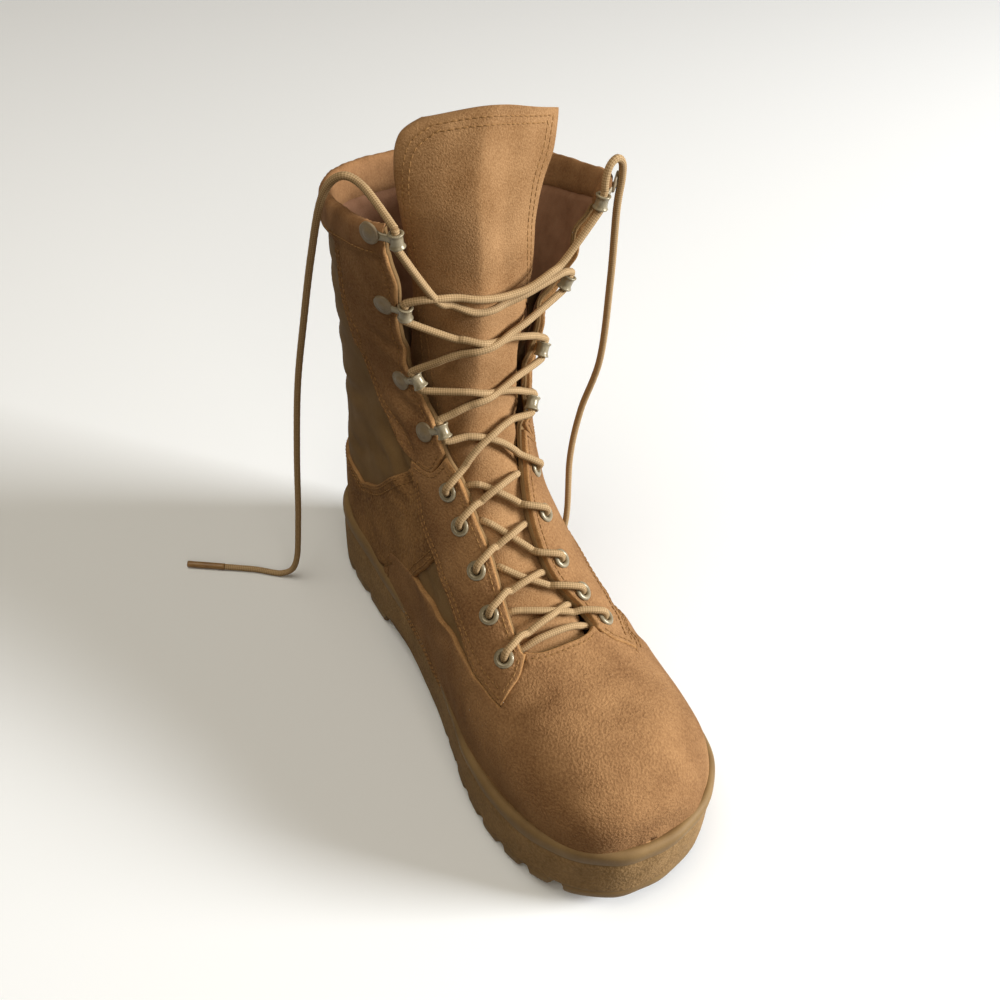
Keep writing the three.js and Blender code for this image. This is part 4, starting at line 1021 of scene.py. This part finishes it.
# Up through an eyelet: place from it, how far onto the leather, and height over the last.
UNDER_FLAP = [(-0.22, -1.5, -2.6), (-0.2, 3.0, -5.0), (-0.1, 6.6, -4.6)]
THROUGH = [(0, 8.2, -1.5), (0, 8.0, 3.2), (0.06, 5.6, 6.1), (0.12, 2.0, 5.5)]
OFF_FLAP = [(0.2, -2.2, 3.0)]
LOOP_TUNNEL = (-5.0, -2.5, 2.5, 5.0)
MEDIAL_RISE = 1.9  # strands that climb from the inner side pass over the others
ways = {}
for start_side in ("medial", "lateral"):
    path, name = [], start_side
    for k in range(9):
        side = SIDES[name]
        if k < 5:
            place = EYELETS[name][k]
            climb = (UNDER_FLAP if k else []) + THROUGH + (OFF_FLAP if k < 4 else [])
            path += [at_edge(place + onward, side, onto, height) for onward, onto, height in climb]
        else:
            place = LOOPS[name][k - 5]
            here, _, up = seat(place, side, *LOOP_SEAT)
            path += [here + up * h for h in LOOP_TUNNEL]
        if k < 8:
            kind = "eyelet" if k < 4 else "to loop" if k == 4 else "loop" if k < 7 else "top"
            low = place + 0.15
            other = "lateral" if name == "medial" else "medial"
            high = (EYELETS[other] + LOOPS[other])[k + 1] - 0.2
            over_it = MEDIAL_RISE if side < 0 else 0.0
            fine = np.linspace(0, len(SLACK[kind]) - 1, 9)
            for share, rise, lift in zip(*(spline(column, fine) for column in zip(*SLACK[kind]))):
                above = over_it * math.sin(math.pi * share) ** 2
                path.append(over_tongue(low, high, side, share, rise, lift - 0.9, above))
            name = other
    ways[start_side] = path
bar = [at_edge(7.0, -1, 4.5, -4.4), at_edge(6.93, -1, 0.0, -3.2)]
bar += [over_tongue(6.93, 6.9, -1, share, 0.5, -1.2) for share in (0.3, 0.7)]
bar += [at_edge(6.9, 1, 0.0, -3.2), at_edge(6.95, 1, 4.5, -4.4)]
line = smooth_line(ways["medial"][::-1] + bar + ways["lateral"])
points, faces, uv = tube(line, CORD_RADIUS, CORD_RIDGE)
replaced = ["lace_bar"] + [f"lace_cross_{k}" for k in range(1, 9)]
link("lace_braided", points, faces, braid, replaced, uv)

# The free ends leave the top loops, arch outwards, hang to the floor and lie along it; sealed tips.
HANGING = {
    "medial": [(-45.5, 92, 276), (-52, 84, 277.5), (-57, 76, 265), (-59, 64, 233), (-60.5, 52, 195),
               (-63, 41, 150), (-64.5, 33, 100), (-66, 28, 50), (-69, 24.5, 14), (-76, 19, 3), (-89, 8, 2.2),
               (-104, -2, 2.2)],
    "lateral": [(55.2, 118.2, 269.5), (57, 117.6, 275), (60.8, 117, 277.2), (64.4, 116.2, 274),
                (65.9, 115, 266), (66.6, 113, 250), (71.5, 108, 210), (76, 101, 160), (74, 92, 122),
                (71, 91, 90), (69, 96, 50), (65, 93, 14), (62, 82, 3), (58, 60, 2.2), (58, 34, 2.2)],
}
tip_look = surface("sealed tip", "7d5c36", "9c7847", 0.35, 200, 900, 0.05)
for name, side in SIDES.items():
    last_mouth = next(path[-1] for path in ways.values() if path[-1][0] * side > 0)
    line = smooth_line([last_mouth] + [(x, -run, z) for x, run, z in HANGING[name]])
    ahead = (line[-1] - line[-3]) * [1, 1, 0]
    ahead /= np.linalg.norm(ahead)
    tip_line = line[-1] + ahead * (0.3 + np.arange(23))[:, None]
    points, faces, uv = tube(tip_line, 1.95, segments=18)
    tip = link(f"aglet_{name}_sealed", points, faces, tip_look, [f"aglet_{name}"])
    points, faces, uv = tube(line, CORD_RADIUS, CORD_RIDGE)
    end = link(f"lace_end_{name}_braided", points, faces, braid, [f"lace_end_{name}"], uv)

# ------------------------------------------------------------------ outsole
# Moulded rubber: a rolled lip round the upper, a groove, a grained band, a smooth lower band notched by
# the lugs, and the lugged tread under forefoot and heel with a raised arch between.
smooth_rubber = surface("rubber", "6f5737", "947950", 0.62, 70, 1800, 0.15, patchy=0.4, fine=0.15)
grained_rubber = surface("grained rubber", "6e5634", "ac8b60", 0.78, 90, 700, 1.0, patchy=0.3, fine=0.6,
                         deep=0.0006)
OUTLINE = [(0, 1), (6, 24), (28, 38), (75, 40.5), (115, 43), (150, 48.5), (185, 55.5), (215, 58.5), (243, 56),
           (266, 46.5), (283, 29.5), (291, 9), (292, -8), (288, -24), (274, -39.5), (253, -49.5), (227, -53.5),
           (202, -52.5), (178, -47.5), (150, -42), (115, -39), (75, -39.5), (28, -38), (6, -24)]
HEIGHTS = [(-20, 0, 49), (60, 0, 48), (110, 0, 43), (150, 0, 40), (190, 0, 37), (236, 0, 39), (262, 4.5, 44),
           (282, 8, 47.5), (310, 13, 50)]
ARCH = [(78, -5), (82.5, 9), (90, 12), (108, 11.5), (130, 7.5), (150, 2.5), (158, -5)]
# The wall from the tread up, over the lip and in to the upper: (share of the height, how far out).
PROFILE = [(0.0, -3.0), (0.02, -2.0), (0.05, -1.2), (0.1, -0.8), (0.15, -0.65), (0.17, -0.9), (0.185, -1.1),
           (0.2, -0.8), (0.22, -0.45), (0.26, -0.35), (0.35, -0.3), (0.45, -0.3), (0.55, -0.35), (0.65, -0.5),
           (0.7, -0.7), (0.725, -1.15), (0.745, -1.15), (0.765, -0.6), (0.8, -0.1), (0.85, 0.2), (0.9, 0.3),
           (0.93, 0.15), (0.955, -0.4), (0.97, -1.1), (0.98, -1.9), (0.982, -2.7), (0.975, -3.6), (0.96, -4.8),
           (0.94, -6.2)]
LUG_BARS = [18, 38, 58, 172, 189, 206, 223, 240, 256, 271]
PER_POINT, CAP_STEPS = 22, 40
around_count = len(OUTLINE) * PER_POINT
at = 3 + np.arange(around_count) / PER_POINT
plan_run, plan_x = (spline(column, at) for column in zip(*OUTLINE[-3:], *OUTLINE, *OUTLINE[:4]))
way = np.stack([np.roll(plan_x, -1) - np.roll(plan_x, 1), np.roll(plan_run, -1) - np.roll(plan_run, 1)], -1)
way /= np.linalg.norm(way, axis=1, keepdims=True)
height_run, height_low, height_high = zip(*HEIGHTS)


def arch(run):
    """The underside's height where it leaves the floor between heel and forefoot."""
    return np.interp(run, *zip(*ARCH), left=-9, right=-9)


def step(value, edge, soft):
    """0 below an edge and 1 above it, with a soft change."""
    return 1 / (1 + np.exp(-np.clip((value - edge) / soft, -40, 40)))


def groove(run, x):
    """1 in the grooves between lugs, 0 on the lugs."""
    cut = np.zeros(np.broadcast(run, x).shape)
    for bar_run in LUG_BARS:
        slanted = run - bar_run + (np.abs(x) - 38) * 0.24
        cut = np.maximum(cut, step(2.4 - np.abs(slanted), 0, 0.25) * step(np.abs(x), 8, 0.4))
    heel = step(3 - np.abs(x), 0, 0.3) * (np.abs(run - 37) < 30)
    fore = step(3.5 - np.abs(x + 2), 0, 0.3) * (np.abs(run - 208) < 46)
    return np.maximum(np.maximum(cut, heel), fore)


rings = []
low, high = np.interp(plan_run, height_run, height_low), np.interp(plan_run, height_run, height_high)
for up, out in PROFILE:
    notch = groove(plan_run, plan_x) * (1 if up < 0.1 else max(0, 1 - (up - 0.1) / 0.08)) * 3.4
    out = out - notch + 0.12 * np.sin(at * 5.3 + up * 9)
    z = low + (high - low) * up + (0.25 * np.sin(at * 2.1) if up > 0.7 else 0)
    x, run = plan_x + way[:, 1] * out, plan_run - way[:, 0] * out
    rings.append(np.stack([x, -run, np.maximum(z, arch(plan_run))], -1))
rings = np.stack(rings)
half = around_count // 2
left, right = rings[0, 1:half, None], rings[0, :half:-1, None]
share = np.linspace(0, 1, CAP_STEPS)[:, None]
cap = left * (1 - share) + right * share
run, x = -cap[:, 1:-1, 1], cap[:, 1:-1, 0]
cap[:, 1:-1, 2] = np.maximum(np.interp(run, height_run, height_low) + 4.2 * groove(run, x), arch(run))
points = np.concatenate([rings.reshape(-1, 3), cap.reshape(-1, 3)])
wall = grid_faces(len(PROFILE), around_count, closed=True)
tread = grid_faces(half - 1, CAP_STEPS, rings[..., 0].size, flip=True)
ends = [[0, 1, around_count - 1], [half, half + 1, half - 1]]
outsole = link("outsole_moulded", points, [*wall, *tread, *ends], smooth_rubber, ["outsole"])
outsole.data.materials.append(grained_rubber)
grained = np.zeros(len(outsole.data.polygons), int)
band = [k for k, (up, _) in enumerate(PROFILE) if 0.21 < up < 0.73]
grained[band[0] * around_count:band[-1] * around_count] = 1
outsole.data.polygons.foreach_set("material_index", grained)

# ------------------------------------------------------------------ insole
# The foam footbed keeps its own solid, with a brushed lining on top.
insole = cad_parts["insole"]
insole.data.materials.clear()
insole.data.materials.append(surface("insole lining", "6e5a44", "8a735a", 0.9, 120, 1800, 0.3))
